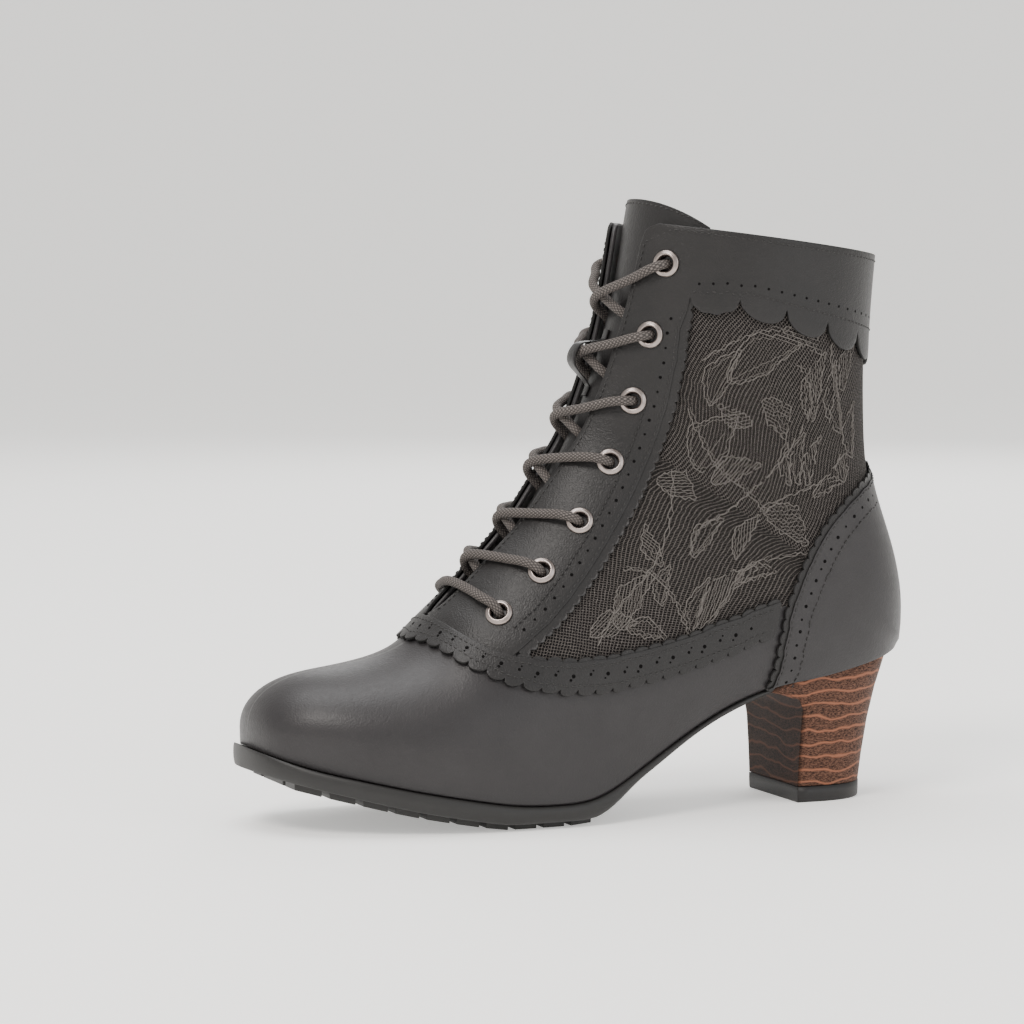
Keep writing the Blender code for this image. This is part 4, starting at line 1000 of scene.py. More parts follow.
# Stems between them: side-view places that each runs through
LACE_STEMS = [
    [(28.0, 143.0), (37.0, 124.0), (49.0, 113.0), (55.0, 106.0)],
    [(49.0, 113.0), (40.0, 106.0), (31.0, 101.0), (27.0, 92.0)],
    [(49.0, 113.0), (58.0, 121.0), (67.0, 133.0), (72.0, 146.0), (66.0, 158.0)],
    [(55.0, 106.0), (64.0, 112.0), (76.0, 116.0), (86.0, 126.0)],
    [(73.0, 92.0), (60.0, 90.0), (47.0, 86.0), (35.0, 70.0), (26.0, 62.0)],
    [(2.0, 88.0), (12.0, 86.0), (20.0, 76.0), (25.0, 64.0)],
    [(32.0, 160.0), (46.0, 168.0), (60.0, 170.0), (74.0, 162.0)],
    [(-10.0, 62.0), (0.0, 76.0), (12.0, 88.0), (20.0, 104.0), (23.0, 122.0)],
    [(80.0, 138.0), (82.0, 150.0), (80.0, 162.0), (86.0, 172.0)],
]
THREAD_RNG = np.random.default_rng(11)


def leaf_outline(root, length, width, direction, count=34):
    """A pointed leaf with a slightly wavy edge, as side-view points running round it."""
    share = np.linspace(0, 1, count)
    half = width / 2 * np.sin(math.pi * share**0.8) * (1 + 0.08 * np.sin(share * 17))
    bow = 0.12 * length * np.sin(math.pi * share)
    across = np.concatenate([half + bow, (bow - half)[::-1]])
    along = np.concatenate([share, share[::-1]]) * length
    around = np.arange(2 * count)
    across = across + 0.32 * np.sin(around * 1.9 + length) + 0.3 * np.sin(around * 0.83)
    cosine, sine = math.cos(direction), math.sin(direction)
    turned = np.array([[cosine, sine], [-sine, cosine]])
    return root + np.column_stack([along, across]) @ turned


def darning(outline, direction):
    """Parallel threads that fill an outline."""
    axis = np.array([math.cos(direction), math.sin(direction)])
    cross = np.array([-axis[1], axis[0]])
    low, high = (outline @ cross).min(), (outline @ cross).max()
    lines = []
    for level in np.arange(low + DARN_SPACING / 2, high, DARN_SPACING):
        offset = outline @ cross - level
        hits = []
        for i in range(len(outline)):
            a, b = offset[i - 1], offset[i]
            if a * b < 0:
                hits.append(float((outline[i - 1] + (outline[i] - outline[i - 1]) * a / (a - b)) @ axis))
        hits.sort()
        for start, end in zip(hits[::2], hits[1::2]):
            if end - start > 1.5:
                at = np.linspace(start, end, max(int((end - start) / 2.2), 2))
                wobble = THREAD_RNG.uniform(-0.16, 0.16, len(at))
                lines.append(np.outer(at, axis) + np.outer(level + wobble, cross))
    return lines


def motif_lines():
    """Outlines, darning and stems of all motifs, as side-view lines with their thread radii."""
    lines = []
    for y, z, length, width, direction, darned in LACE_LEAVES:
        axis = np.array([math.cos(direction), math.sin(direction)])
        root = np.array([y, z]) - axis * length / 2
        outline = leaf_outline(root, length, width, direction)
        lines.append((np.concatenate([outline, outline[:1]]), OUTLINE_THREAD))
        if darned:
            lines.extend((line, DARN_THREAD) for line in darning(outline, direction + 0.5))
            continue
        inner = leaf_outline(root + 1.2 * axis, length - 2.6, width - 2.4, direction)
        lines.append((np.concatenate([inner, inner[:1]]), DARN_THREAD))
        vein = root + np.outer(np.linspace(0, 0.9, 8), axis) * length
        lines.append((vein, DARN_THREAD))
    for stem in LACE_STEMS:
        place = np.linspace(0, len(stem) - 1, 14 * len(stem))
        drawn = np.column_stack([smooth_through(range(len(stem)), column(stem, k), place) for k in (0, 1)])
        ripple = np.sin(np.arange(len(place)) * 0.9)[:, None] * (0.4, -0.3)
        lines.append((drawn + ripple, OUTLINE_THREAD))
        lines.append((drawn - ripple + (0.9, 0.6), DARN_THREAD))
    return lines


def make_motifs(side):
    """All threads of a panel in one mesh, cut where the leather covers the net."""
    rings = []
    faces = []
    total = 0
    for line, radius in motif_lines():
        way = running_length(line)
        at = np.linspace(0, way[-1], max(int(way[-1] / THREAD_STEP), 3))
        flat = read_along(at, way, line)
        spots = spots_at(flat, side)
        points = wall_of(spots, radius * THREAD_SUNK)
        inside = np.linalg.norm(points[:, 1:] - flat, axis=1) < OFF_WALL_MOST
        inside &= is_lace(points[:, 1], points[:, 2])
        normals = wall_normal(spots[:, 0], spots[:, 1])
        breaks = np.flatnonzero(np.diff(inside.astype(int))) + 1
        for run in np.split(np.arange(len(at)), breaks):
            if len(run) < 3 or not inside[run[0]]:
                continue
            here, out = points[run], normals[run]
            along = np.gradient(here, axis=0)
            along /= np.linalg.norm(along, axis=1, keepdims=True) + 1e-9
            aside = np.cross(out, along)
            angles = math.tau * (np.arange(THREAD_SIDES) + 0.5) / THREAD_SIDES
            tube = here[:, None] + radius * (aside[:, None] * np.cos(angles)[:, None]
                                             + out[:, None] * np.sin(angles)[:, None])
            rings.append(tube.reshape(-1, 3))
            faces += grid_faces(len(run), THREAD_SIDES, total, ring=True)
            faces += end_caps(len(run), THREAD_SIDES, total)
            total += len(run) * THREAD_SIDES
    return np.concatenate(rings), faces


def wall_of(spots, height=0.0):
    spots = np.asarray(spots, float)
    return off_wall(spots[:, 0], spots[:, 1], np.broadcast_to(height, spots.shape[0]))


for side, label in SIDES.items():
    threads = new_piece(f"lace_motifs_{label}", *make_motifs(side), [LACE_THREAD])
    dress(threads, "lace_cord")


# Heel counter: smooth leather moulded round the heel, with a gimped strip along its front edge.
# The strip carries a double stitch row and a row of punched holes.
def spot(y, z, side):
    return tuple(spots_at([(y, z)], side)[0])


def edge_on_wall(rows, side, starts_on_ridge=False, ends_on_back=False, samples=26):
    """Knots, stations and turns of a side-view edge, laid on one side of the wall."""
    points = np.array([placed(y, z) for y, z in rows])
    way = running_length(points)
    at = np.linspace(0, way[-1], samples)
    drawn = smooth_through(way, points, at)
    spots = spots_at(drawn, side)
    if starts_on_ridge:
        spots[0, 1] = 0
        spots = np.delete(spots, 1, axis=0)
    if ends_on_back:
        spots[-1, 1] = side
        spots = np.delete(spots, -2, axis=0)
    laid = wall_point(spots[:, 0], spots[:, 1])
    knots = running_length(laid)
    return knots, spots


def along_edge(edge, fraction):
    knots, spots = edge
    return smooth_through(knots, spots, np.asarray(fraction, float) * knots[-1])


EDGE_LEATHER = grained_leather("cut_leather_edge", "#0f0e0e", "#171615", 0.5, 0.06, 0.7)


def rim_faces(top, count):
    """Faces round the open border of a sheet, down to its copy that lies count points later."""
    border = {(a, b) for face in top for a, b in zip(face, (*face[1:], face[0]))}
    return [(b, a, a + count, b + count) for a, b in border if (b, a) not in border]


OVERLAY_INSIDE = GAP + 0.25
OVERLAY_OUTSIDE = OVERLAY_INSIDE + 1.2


class Patch:
    """Places on the wall, each held once, and the faces between them."""

    def __init__(self):
        self.spots = []
        self.known = {}
        self.faces = []

    def point(self, place):
        key = (round(float(place[0]), 4), round(float(place[1]), 6))
        if key not in self.known:
            self.known[key] = len(self.spots)
            self.spots.append(key)
        return self.known[key]

    def grid(self, rows, flip=False, skip=None):
        """Faces between rows of spots; skip leaves out the ones over a hole."""
        marks = [[self.point(place) for place in row] for row in rows]
        for low, high in zip(marks, marks[1:]):
            for j in range(len(low) - 1):
                face = [low[j], low[j + 1], high[j + 1], high[j]]
                face = [v for i, v in enumerate(face) if v != face[i - 1]]
                if len(face) > 2:
                    self.faces.append(face[::-1] if flip else face)
        if skip is not None:
            places = wall_of(np.array(self.spots))
            centres = np.array([places[face].mean(axis=0) for face in self.faces])
            self.faces = [f for f, cut in zip(self.faces, skip(centres)) if not cut]


def overlay_piece(name, patch, finish, inside=OVERLAY_INSIDE, outside=OVERLAY_OUTSIDE, rounding=0.32):
    """A leather sheet laid on the wall, with both faces, cut edges and rounded rims."""
    outer = wall_of(patch.spots, outside)
    inner = wall_of(patch.spots, inside)
    count = len(outer)
    faces = [tuple(face) for face in patch.faces]
    slots = [0] * len(faces)
    faces += [tuple(i + count for i in reversed(face)) for face in patch.faces]
    rims = rim_faces(patch.faces, count)
    slots += [0] * len(patch.faces) + [1] * len(rims)
    piece = new_piece(name, np.concatenate([outer, inner]), faces + rims, [finish, EDGE_LEATHER], slots)
    if rounding:
        round_edges(piece, rounding, 2, 50)
    return piece


def laid_path(spots, height):
    """Points on a line of wall spots at a height, with the wall's normals there."""
    spots = np.asarray(spots, float)
    return wall_of(spots, height), wall_normal(spots[:, 0], spots[:, 1])


def sideways(points, normals, toward):
    """Unit directions across a line on the wall, on the side that faces toward."""
    along = np.gradient(points, axis=0)
    along /= np.linalg.norm(along, axis=1, keepdims=True)
    across = np.cross(normals, along)
    return across * (1 if (across @ np.array(toward, float)).mean() > 0 else -1)


def nudged(edge, distance, toward):
    """An edge on the wall moved sideways, still as knots and spots."""
    knots, spots = edge
    points, normals = laid_path(spots, 0.0)
    move = sideways(points, normals, toward) * np.broadcast_to(distance, len(points))[:, None]
    low = np.clip(spots[:, 0] - 0.5, 0.5, COLLAR_STATION)
    high = np.clip(spots[:, 0] + 0.5, 0.5, COLLAR_STATION)
    by_station = (wall_point(high, spots[:, 1]) - wall_point(low, spots[:, 1])) / (high - low)[:, None]
    less, more = np.clip(spots[:, 1] - 2e-3, -1, 1), np.clip(spots[:, 1] + 2e-3, -1, 1)
    by_turn = (wall_point(spots[:, 0], more) - wall_point(spots[:, 0], less)) / (more - less)[:, None]
    moved = [
        place + np.linalg.lstsq(np.column_stack([a, b]), step, rcond=None)[0]
        for place, a, b, step in zip(spots, by_station, by_turn, move)
    ]
    moved = np.array(moved)
    moved[:, 0] = np.clip(moved[:, 0], 0.5, COLLAR_STATION)
    moved[:, 1] = np.clip(moved[:, 1], -1, 1)
    return knots, moved


COUNTER_ROWS = 60
COUNTER_COLUMNS = 40
COUNTER_FOOT_TURN = 0.985
ROUND_HEEL = (0.35, 0.7)


def row_round_heel(first, last, side, columns):
    start, end = wall_point(*first), wall_point(*last)
    knots = [first]
    for share in ROUND_HEEL:
        y = start[1] + (end[1] - start[1]) * math.sin(share * math.pi / 2)
        z = start[2] + (end[2] - start[2]) * share
        knots.append(spot(y, z, side))
    at = np.linspace(0, 1, columns + 1)
    return [tuple(place) for place in smooth_through([0.0, *ROUND_HEEL, 1.0], [*knots, last], at)]


COUNTER_GIMP = 2.3


def counter_edge(side):
    """Front edge of the counter's own leather, its ends left on the sole seam and the back seam."""
    knots, spots = edge_on_wall(COUNTER_FRONT, side, ends_on_back=True, samples=40)
    inset = COUNTER_GIMP * np.clip((knots[-1] - knots) / 6.0, 0, 1)
    kept = spots[-1].copy()
    knots, spots = nudged((knots, spots), inset, (0, 1, 0))
    spots[-1] = kept
    return knots, spots


def make_counter():
    patch = Patch()
    for side in SIDES:
        front = counter_edge(side)
        top_station = along_edge(front, 1.0)[0]
        low_station = HEEL_STATION + 1.0
        rows = []
        for i in range(COUNTER_ROWS + 1):
            share = i / COUNTER_ROWS
            first = tuple(along_edge(front, share))
            back_station = low_station + (top_station - low_station) * share
            if i == 0:
                foot = np.linspace(first[0], back_station, COUNTER_COLUMNS + 1)
                row = [(station, COUNTER_FOOT_TURN * side) for station in foot]
            else:
                row = row_round_heel(first, (back_station, side), side, COUNTER_COLUMNS)
            row[-1] = (back_station, 1.0)
            rows.append(row)
        rows[-1] = [(top_station, 1.0)] * (COUNTER_COLUMNS + 1)
        patch.grid(rows, flip=side < 0)
    return overlay_piece("moulded_heel_counter", patch, VAMP_LEATHER, inside=OVERLAY_INSIDE + 0.4)


dress(make_counter(), "overlay_leather", "heel_counter")
OVERLAY_LEATHER = grained_leather("pebbled_leather", "#171616", "#211f1f", 0.5, 0.12, 0.42)
STITCH_PITCH = 2.3
STITCH_LENGTH = 1.5
THREAD = 0.5
# Along a stitch: share of its length, lift over the leather, share of the thread's thickness
STITCH_PROFILE = ((-0.5, -0.22, 0.55), (-0.3, 0.06, 1.0), (0.3, 0.06, 1.0), (0.5, -0.22, 0.55))


def moved_aside(spots, distance, toward):
    """A line of wall spots as points and normals, moved sideways by a distance."""
    points, normals = laid_path(spots, 0.0)
    reach = np.broadcast_to(distance, len(points))[:, None]
    return points + sideways(points, normals, toward) * reach, normals


def resample(points, normals, pitch, start=0.5):
    """Evenly spaced points, normals and directions along a line."""
    way = running_length(points)
    count = max(int((way[-1] - start * pitch) / pitch), 1)
    at = (np.arange(count) + start) * pitch
    here = read_along(at, way, points)
    out = read_along(at, way, normals)
    out /= np.linalg.norm(out, axis=1, keepdims=True)
    along = read_along(at + 0.4, way, points) - read_along(at - 0.4, way, points)
    along /= np.linalg.norm(along, axis=1, keepdims=True)
    return here, out, along


class Trim:
    """Gathers stitches and punched holes until they are made into one piece."""

    def __init__(self):
        self.points = []
        self.faces = []

    def add_rings(self, rings):
        base = sum(len(p) for p in self.points)
        count = len(rings)
        sides = len(rings[0])
        self.points.append(np.concatenate(rings))
        self.faces += grid_faces(count, sides, base, ring=True)
        self.faces += end_caps(count, sides, base)

    def stitches(self, points, normals, height, pitch=STITCH_PITCH, length=STITCH_LENGTH, thread=THREAD):
        """Thread lying on the leather, dipping in at both ends of each stitch."""
        for here, out, along in zip(*resample(points, normals, pitch)):
            aside = np.cross(out, along)
            rings = []
            for share, lift, wide in STITCH_PROFILE:
                centre = here + along * length * share + out * (height + lift)
                rings.append(np.array([
                    centre + thread / 2 * wide * (aside * math.cos(k) + out * math.sin(k))
                    for k in np.arange(6) * math.tau / 6
                ]))
            self.add_rings(rings)

    def holes(self, points, normals, height, pitch, radii, start=0.5):
        """Punched holes of given radii, taken in turn: a floor in painted shadow inside a low pressed rim.
        """
        for i, (here, out, along) in enumerate(zip(*resample(points, normals, pitch, start))):
            self.hole(here, out, along, height, radii[i % len(radii)])

    def hole(self, here, out, along, height, radius):
        aside = np.cross(out, along)
        spokes = [aside * math.cos(k) + along * math.sin(k) for k in np.arange(10) * math.tau / 10]
        self.add_rings([
            np.array([here + out * (height - 0.1) + spoke * radius * 1.05 for spoke in spokes]),
            np.array([here + out * (height + 0.04) + spoke * radius for spoke in spokes]),
        ])


GIMP_HEIGHT = 0.85


def gimped_strip(name, edge, toward, finish, pitch, reach, depth, power=0.5, inset=1.5, height=GIMP_HEIGHT):
    """A thin strip under a leather edge, reaching out toward, its free edge cut in small scallops."""
    points, normals = laid_path(along_edge(edge, np.linspace(0, 1, 300)), 0.0)
    way = running_length(points)
    wide = max(int(round(way[-1] / pitch)), 1) * 10 + 1
    at = np.linspace(0, way[-1], wide)
    line = read_along(at, way, points)
    out = read_along(at, way, normals)
    out /= np.linalg.norm(out, axis=1, keepdims=True)
    across = sideways(line, out, toward)
    phase = (np.arange(wide) / 10) % 1
    far = np.interp(at, way, np.broadcast_to(reach, 300) if np.ndim(reach) else np.full(300, reach))
    far = far - depth + depth * np.maximum(1 - (2 * phase - 1) ** 2, 0) ** power
    rows = [line + across * (-inset + (far + inset) * share)[:, None] for share in (0.0, 0.4, 0.8, 1.0)]
    made = [row + out * level for level in (height, height - 0.6) for row in rows]
    half = 4 * wide
    top = grid_faces(4, wide)
    first = np.array(made[0][1]) - made[0][0]
    faces_out = np.dot(np.cross(made[1][0] - made[0][0], first), out[0]) < 0
    if not faces_out:
        top = [face[::-1] for face in top]
    faces = top + [tuple(i + half for i in face[::-1]) for face in top]
    slots = [0] * len(faces)
    for c in range(wide - 1):
        a = 3 * wide + c
        quad = (a, a + 1, a + 1 + half, a + half)
        faces.append(quad if not faces_out else quad[::-1])
        slots.append(1)
    return new_piece(name, np.concatenate(made), faces, [finish, EDGE_LEATHER], slots)


counter_trim = Trim()
counter_holes = Trim()
for side, label in SIDES.items():
    edge = counter_edge(side)
    strip = gimped_strip(f"counter_gimp_{label}", edge, (0, -1, 0), OVERLAY_LEATHER, 4.6, 2.6, 1.3,
                         height=1.2)
    dress(strip, "overlay_leather")
    line = along_edge(edge, np.linspace(0.02, 0.985, 300))
    counter_trim.stitches(*moved_aside(line, 0.9, (0, 1, 0)), OVERLAY_OUTSIDE)
    line = along_edge(edge, np.linspace(0.02, 0.93, 300))
    counter_trim.stitches(*moved_aside(line, 8.0, (0, 1, 0)), OVERLAY_OUTSIDE)
    counter_holes.holes(*moved_aside(line, 4.4, (0, 1, 0)), OVERLAY_OUTSIDE, 4.9, (0.62, 0.42, 0.62, 0.5))


# Waxed polyester thread, near black, with a dull shine
DARK_THREAD = new_finish("waxed_dark_thread", 0.55, Base_Color=linear("#191716"))[0]


def trim_piece(name, trim, finish, slot):
    made = new_piece(name, np.concatenate(trim.points), trim.faces, [finish])
    return dress(made, slot)


trim_piece("counter_stitching", counter_trim, DARK_THREAD, "overlay_leather")
# Inside of a punched hole: nothing but shadow
HOLE_SHADOW = new_finish("punched_hole_shadow", 0.95, Specular_IOR_Level=0.1,
                         Base_Color=linear("#070606"))[0]
trim_piece("counter_punched_holes", counter_holes, HOLE_SHADOW, "overlay_leather")


# Wing band: a leather strip sewn over the join of vamp and lace cloth, from counter to counter. Both
# edges are gimped in scallops, with two stitch rows and punched holes between them.
BAND_BOTTOM = [
    (-64.2, 63.9),
    (-60.0, 62.2),
    (-55.3, 58.8),
    (-46.7, 53.7),
    (-32.6, 49.4),
    (-19.7, 47.6),
    (-6.6, 47.8),
    (6.8, 49.6),
    (32.0, 55.4),
    (59.4, 64.2),
]
BAND_SCALLOPS = 23
BAND_HANG = 2.2
BAND_STEPS = 10
BAND_ROWS = 12
BAND_HANG_ROWS = 4


def round_scallop(phase):
    """How far a scallop stands out, 0 to 1, at a place counted in scallops."""
    return np.sqrt(np.maximum(1 - (2 * (phase % 1.0) - 1) ** 2, 0.0))


def band_edges(side):
    """Bottom and top edge of the band, from the ridge to the counter."""
    return [edge_on_wall(rows, side, starts_on_ridge=True, samples=40) for rows in (BAND_BOTTOM, BAND_TOP)]


def make_band():
    patch = Patch()
    for side in SIDES:
        low, high = band_edges(side)
        count = BAND_SCALLOPS * BAND_STEPS
        rows = [[] for _ in range(BAND_ROWS + 1)]
        for j in range(count + 1):
            a = along_edge(low, j / count)
            b = along_edge(high, j / count)
            width = np.linalg.norm(wall_point(*a) - wall_point(*b))
            hang = float(round_scallop(j / BAND_STEPS)) * BAND_HANG / width
            for i in range(BAND_ROWS + 1):
                share = i / BAND_ROWS - hang * max(1 - i / BAND_HANG_ROWS, 0)
                rows[i].append(tuple(a + (b - a) * share))
        patch.grid(rows, flip=side < 0)
    return overlay_piece("leather_wing_band", patch, OVERLAY_LEATHER, rounding=0.28)


dress(make_band(), "overlay_leather", "wing_band")
BAND_TOP_STITCH = 2.0
BAND_LOW_STITCH = 1.5
BAND_GIMP_START = 0.26
band_trim = Trim()
band_holes = Trim()
for side, label in SIDES.items():
    low, high = band_edges(side)
    part = along_edge(high, np.linspace(BAND_GIMP_START, 1.0, 60))
    points, _ = laid_path(part, 0.0)
    knots = running_length(points)
    strip = gimped_strip(f"band_gimp_{label}", (knots, part), (0, 0, 1), OVERLAY_LEATHER, 5.4, 1.5, 1.6,
                         height=OVERLAY_OUTSIDE - 0.35)
    dress(strip, "overlay_leather")
    shares = np.linspace(0.0, 0.985, 400)
    band_trim.stitches(*moved_aside(along_edge(high, shares), BAND_TOP_STITCH, (0, 0, -1)), OVERLAY_OUTSIDE)
    band_trim.stitches(*moved_aside(along_edge(low, shares), BAND_LOW_STITCH, (0, 0, 1)), OVERLAY_OUTSIDE)
    middle = (along_edge(low, shares) + along_edge(high, shares)) / 2
    band_holes.holes(*laid_path(middle, 0.0), OVERLAY_OUTSIDE, 6.4, (0.7, 0.55))
    band_holes.holes(*moved_aside(middle, 1.3, (0, 0, 1)), OVERLAY_OUTSIDE, 12.8, (0.34,), start=0.75)
    band_holes.holes(*moved_aside(middle, 1.4, (0, 0, -1)), OVERLAY_OUTSIDE, 12.8, (0.36, 0.5), start=0.25)
trim_piece("band_stitching", band_trim, DARK_THREAD, "overlay_leather")
trim_piece("band_punched_holes", band_holes, HOLE_SHADOW, "overlay_leather")


# Collar and facings: one leather piece each side, turned in and stitched round its edge. Big
# scallops hang under the cuff, and a gimped strip shows along the facing's back edge.

# Eyelet centres on the outer side, top to bottom: y, z
EYELETS = [
    (22.5, 193.2),
    (17.4, 168.9),
    (11.6, 145.6),
    (2.6, 123.8),
    (-9.7, 104.3),
    (-24.8, 87.1),
    (-40.6, 73.0),
]
CUFF_SCALLOPS = 6
SCALLOP_DEPTH = 6.5
SCALLOP_STEPS = 16
FACING_ROWS = 110
FACING_COLUMNS = 16
CUFF_ROWS = 14
THROAT_LEAST = 0.8
THROAT_START = 1.5
FACING_GIMP = 3.1
HOLE_CUT = 3.3
# Places along the collar that the stitch row leaves out where it turns the facing's corner
CORNER_SKIPPED = 9
EYELET_PLACES = {side: [spot(*placed(y, z), side) for y, z in EYELETS] for side in SIDES}


def clear_turn(station, side):
    least = float(turn_at(THROAT_LEAST, section_at(station, side > 0)[4]))
    return side * max(abs(float(throat_turn(station, side))), least)


def facing_back(side):
    """Back edge of the facing's own leather, from the band up to the cuff."""
    knots, spots = edge_on_wall(FACING_BACK, side, samples=40)
    kept = spots[-1].copy()
    inset = FACING_GIMP * np.clip((knots[-1] - knots) / 12.0, 0, 1)
    knots, spots = nudged((knots, spots), inset, (0, -1, 0))
    spots[-1] = kept
    return knots, spots


def over_eyelets(centres):
    cut = np.zeros(len(centres), bool)
    for side in SIDES:
        for place in EYELET_PLACES[side]:
            cut |= np.linalg.norm(centres - wall_point(*place), axis=1) < HOLE_CUT
    return cut


def spread(first, last, count):
    return [tuple(np.add(first, np.subtract(last, first) * i / count)) for i in range(count + 1)]


def facing_rows(side):
    back = facing_back(side)
    bottom = edge_on_wall(CUFF_BOTTOM, side, ends_on_back=True, samples=40)
    band = edge_on_wall(BAND_TOP, side, starts_on_ridge=True, samples=40)
    start_back = along_edge(back, 0.0)
    shares = np.linspace(0, 1, 201)
    reach = float(shares[np.argmin(np.abs(along_edge(band, shares)[:, 1] - start_back[1]))])
    low_row = []
    for j in range(FACING_COLUMNS + 1):
        station, turn = along_edge(band, reach * j / FACING_COLUMNS)
        low_row.append((station - 0.5, turn))
    low_row[0] = (low_row[0][0] + THROAT_START, clear_turn(low_row[0][0] + THROAT_START, side))
    rows = [low_row]
    corner = tuple(along_edge(bottom, 0.0))
    for i in range(1, FACING_ROWS + 1):
        share = i / FACING_ROWS
        outer = tuple(along_edge(back, share)) if i < FACING_ROWS else corner
        station = low_row[0][0] + (corner[0] - low_row[0][0]) * share
        rows.append(spread((station, clear_turn(station, side)), outer, FACING_COLUMNS))
    for i in range(1, CUFF_ROWS + 1):
        station = corner[0] + (COLLAR_STATION - corner[0]) * i / CUFF_ROWS
        rows.append(spread((station, clear_turn(station, side)), (station, corner[1]), FACING_COLUMNS))
    return rows, bottom, corner


def make_collar():
    patch = Patch()
    for side in SIDES:
        rows, bottom, corner = facing_rows(side)
        patch.grid(rows, flip=side < 0)
        columns = CUFF_SCALLOPS * SCALLOP_STEPS
        cuff = [[rows[FACING_ROWS + i][-1]] for i in range(CUFF_ROWS + 1)]
        for j in range(1, columns + 1):
            low_station, turn = along_edge(bottom, j / columns)
            turn = 1.0 if j == columns else turn
            hang = float(round_scallop(j / SCALLOP_STEPS)) * SCALLOP_DEPTH if j < columns else 0.0
            for i in range(CUFF_ROWS + 1):
                station = low_station + (COLLAR_STATION - low_station) * i / CUFF_ROWS
                drop = hang * max(1 - i / 5, 0)
                cuff[i].append((station - drop, turn))
        patch.grid(cuff, flip=side < 0, skip=over_eyelets)
    return overlay_piece("leather_collar_and_facings", patch, OVERLAY_LEATHER)


dress(make_collar(), "overlay_leather", "collar_and_facings")
collar_trim = Trim()
collar_holes = Trim()
for side, label in SIDES.items():
    back = facing_back(side)
    reach = FACING_GIMP * np.clip(np.linspace(14, 0.2, 300), 0, 1) + 0.4
    strip = gimped_strip(f"facing_gimp_{label}", back, (0, 1, 0), OVERLAY_LEATHER, 3.7, reach, 1.2,
                         power=0.8, height=1.3)
    dress(strip, "overlay_leather")
    rows, bottom, _ = facing_rows(side)
    rim = np.array([row[0] for row in rows[2:]])
    top = np.array([(COLLAR_STATION, turn) for turn in np.linspace(rim[-1][1], side, 160)[1:]])
    toward = (1, 0.4, -0.2) if side > 0 else (-1, 0.4, -0.2)
    points, normals = moved_aside(rim[:-4], 1.8, toward)
    _, top_normals = laid_path(top, 0.0)
    drop = wall_of(top - (2.0, 0.0))
    points = np.concatenate([points, drop[CORNER_SKIPPED:]])
    normals = np.concatenate([normals, top_normals[CORNER_SKIPPED:]])
    collar_trim.stitches(points, normals, OVERLAY_OUTSIDE)
    low = along_edge(bottom, np.linspace(0.0, 1.0, 300)) + (2.6, 0.0)
    low[:, 1] = np.clip(low[:, 1], -1, 1)
    collar_trim.stitches(*laid_path(low, 0.0), OVERLAY_OUTSIDE)
    collar_holes.holes(*laid_path(low[:290] + (3.3, 0.0), 0.0), OVERLAY_OUTSIDE, 4.9, (0.48,))
    line = along_edge(back, np.linspace(0.03, 0.985, 400))
    collar_trim.stitches(*moved_aside(line, 1.2, (0, -1, 0)), OVERLAY_OUTSIDE)
    inner = line[:300]
    collar_trim.stitches(*moved_aside(inner, 7.2, (0, -1, 0)), OVERLAY_OUTSIDE)
    collar_holes.holes(*moved_aside(line, 4.3, (0, -1, 0)), OVERLAY_OUTSIDE, 5.2, (0.5, 0.4, 0.55))
trim_piece("collar_stitching", collar_trim, DARK_THREAD, "overlay_leather")
trim_piece("collar_punched_holes", collar_holes, HOLE_SHADOW, "overlay_leather")


# Tongue: one sheet of smooth leather, sewn in under the vamp, that follows the instep up past the
# collar. Its edges are turned and stitched, its corners are rounded, and cloth lines its back.
STRAP_LEATHER = grained_leather("strap_leather", "#161515", "#1f1d1d", 0.8, 0.08, 0.42)
TONGUE_FOOT_Z = 66.0
TONGUE_TOP_RISE = 8.5
TONGUE_CORNER_DROP = 8.0
TONGUE_FLARE = 0.2
TONGUE_DEPTH = 3.6
TONGUE_SEWN_DEPTH = WALL + GAP + 0.05
TONGUE_THICK = 1.6
TONGUE_HALF = [(66.0, 10.0), (80.0, 16.0), (104.0, 21.0), (150.0, 26.0), (208.0, 31.5)]
TONGUE_ROWS = 110
TONGUE_RISE_ROWS = 12
TONGUE_COLUMNS = 48


def tongue_place(share, across):
    """Station, turn and depth of a place on the tongue below the collar."""
    foot = float(np.interp(placed(-61.0, TONGUE_FOOT_Z)[1], TABLE[:, 1], STATIONS))
    station = foot + (COLLAR_STATION - foot) * share
    section = section_at(station, True)
    half = np.interp(section[1], column(TONGUE_HALF, 0), column(TONGUE_HALF, 1))
    reach = float(turn_at(half, section[4]))
    depth = TONGUE_SEWN_DEPTH + (TONGUE_DEPTH - TONGUE_SEWN_DEPTH) * min(share * 5, 1)
    return station, reach * across, depth


def tongue_row(share, depth_more=0.0):
    across = np.linspace(-1, 1, TONGUE_COLUMNS + 1)
    station, _, depth = tongue_place(share, 0.0)
    turns = np.array([tongue_place(share, a)[1] for a in across])
    return off_wall(np.full_like(turns, station), turns, np.full_like(turns, -depth - depth_more))


def tongue_sheet(depth_more):
    rows = [tongue_row(i / TONGUE_ROWS, depth_more) for i in range(TONGUE_ROWS + 1)]
    lean = (rows[-1] - tongue_row(1 - 1 / 15, depth_more)) * (TONGUE_FLARE, 1, 1)
    lean /= np.linalg.norm(lean, axis=1, keepdims=True)
    corner = np.abs(np.linspace(-1, 1, TONGUE_COLUMNS + 1)) ** 2.4
    rise = (TONGUE_TOP_RISE - TONGUE_CORNER_DROP * corner)[:, None]
    top = rows[-1]
    rows += [top + lean * rise * i / TONGUE_RISE_ROWS for i in range(1, TONGUE_RISE_ROWS + 1)]
    return np.array(rows)


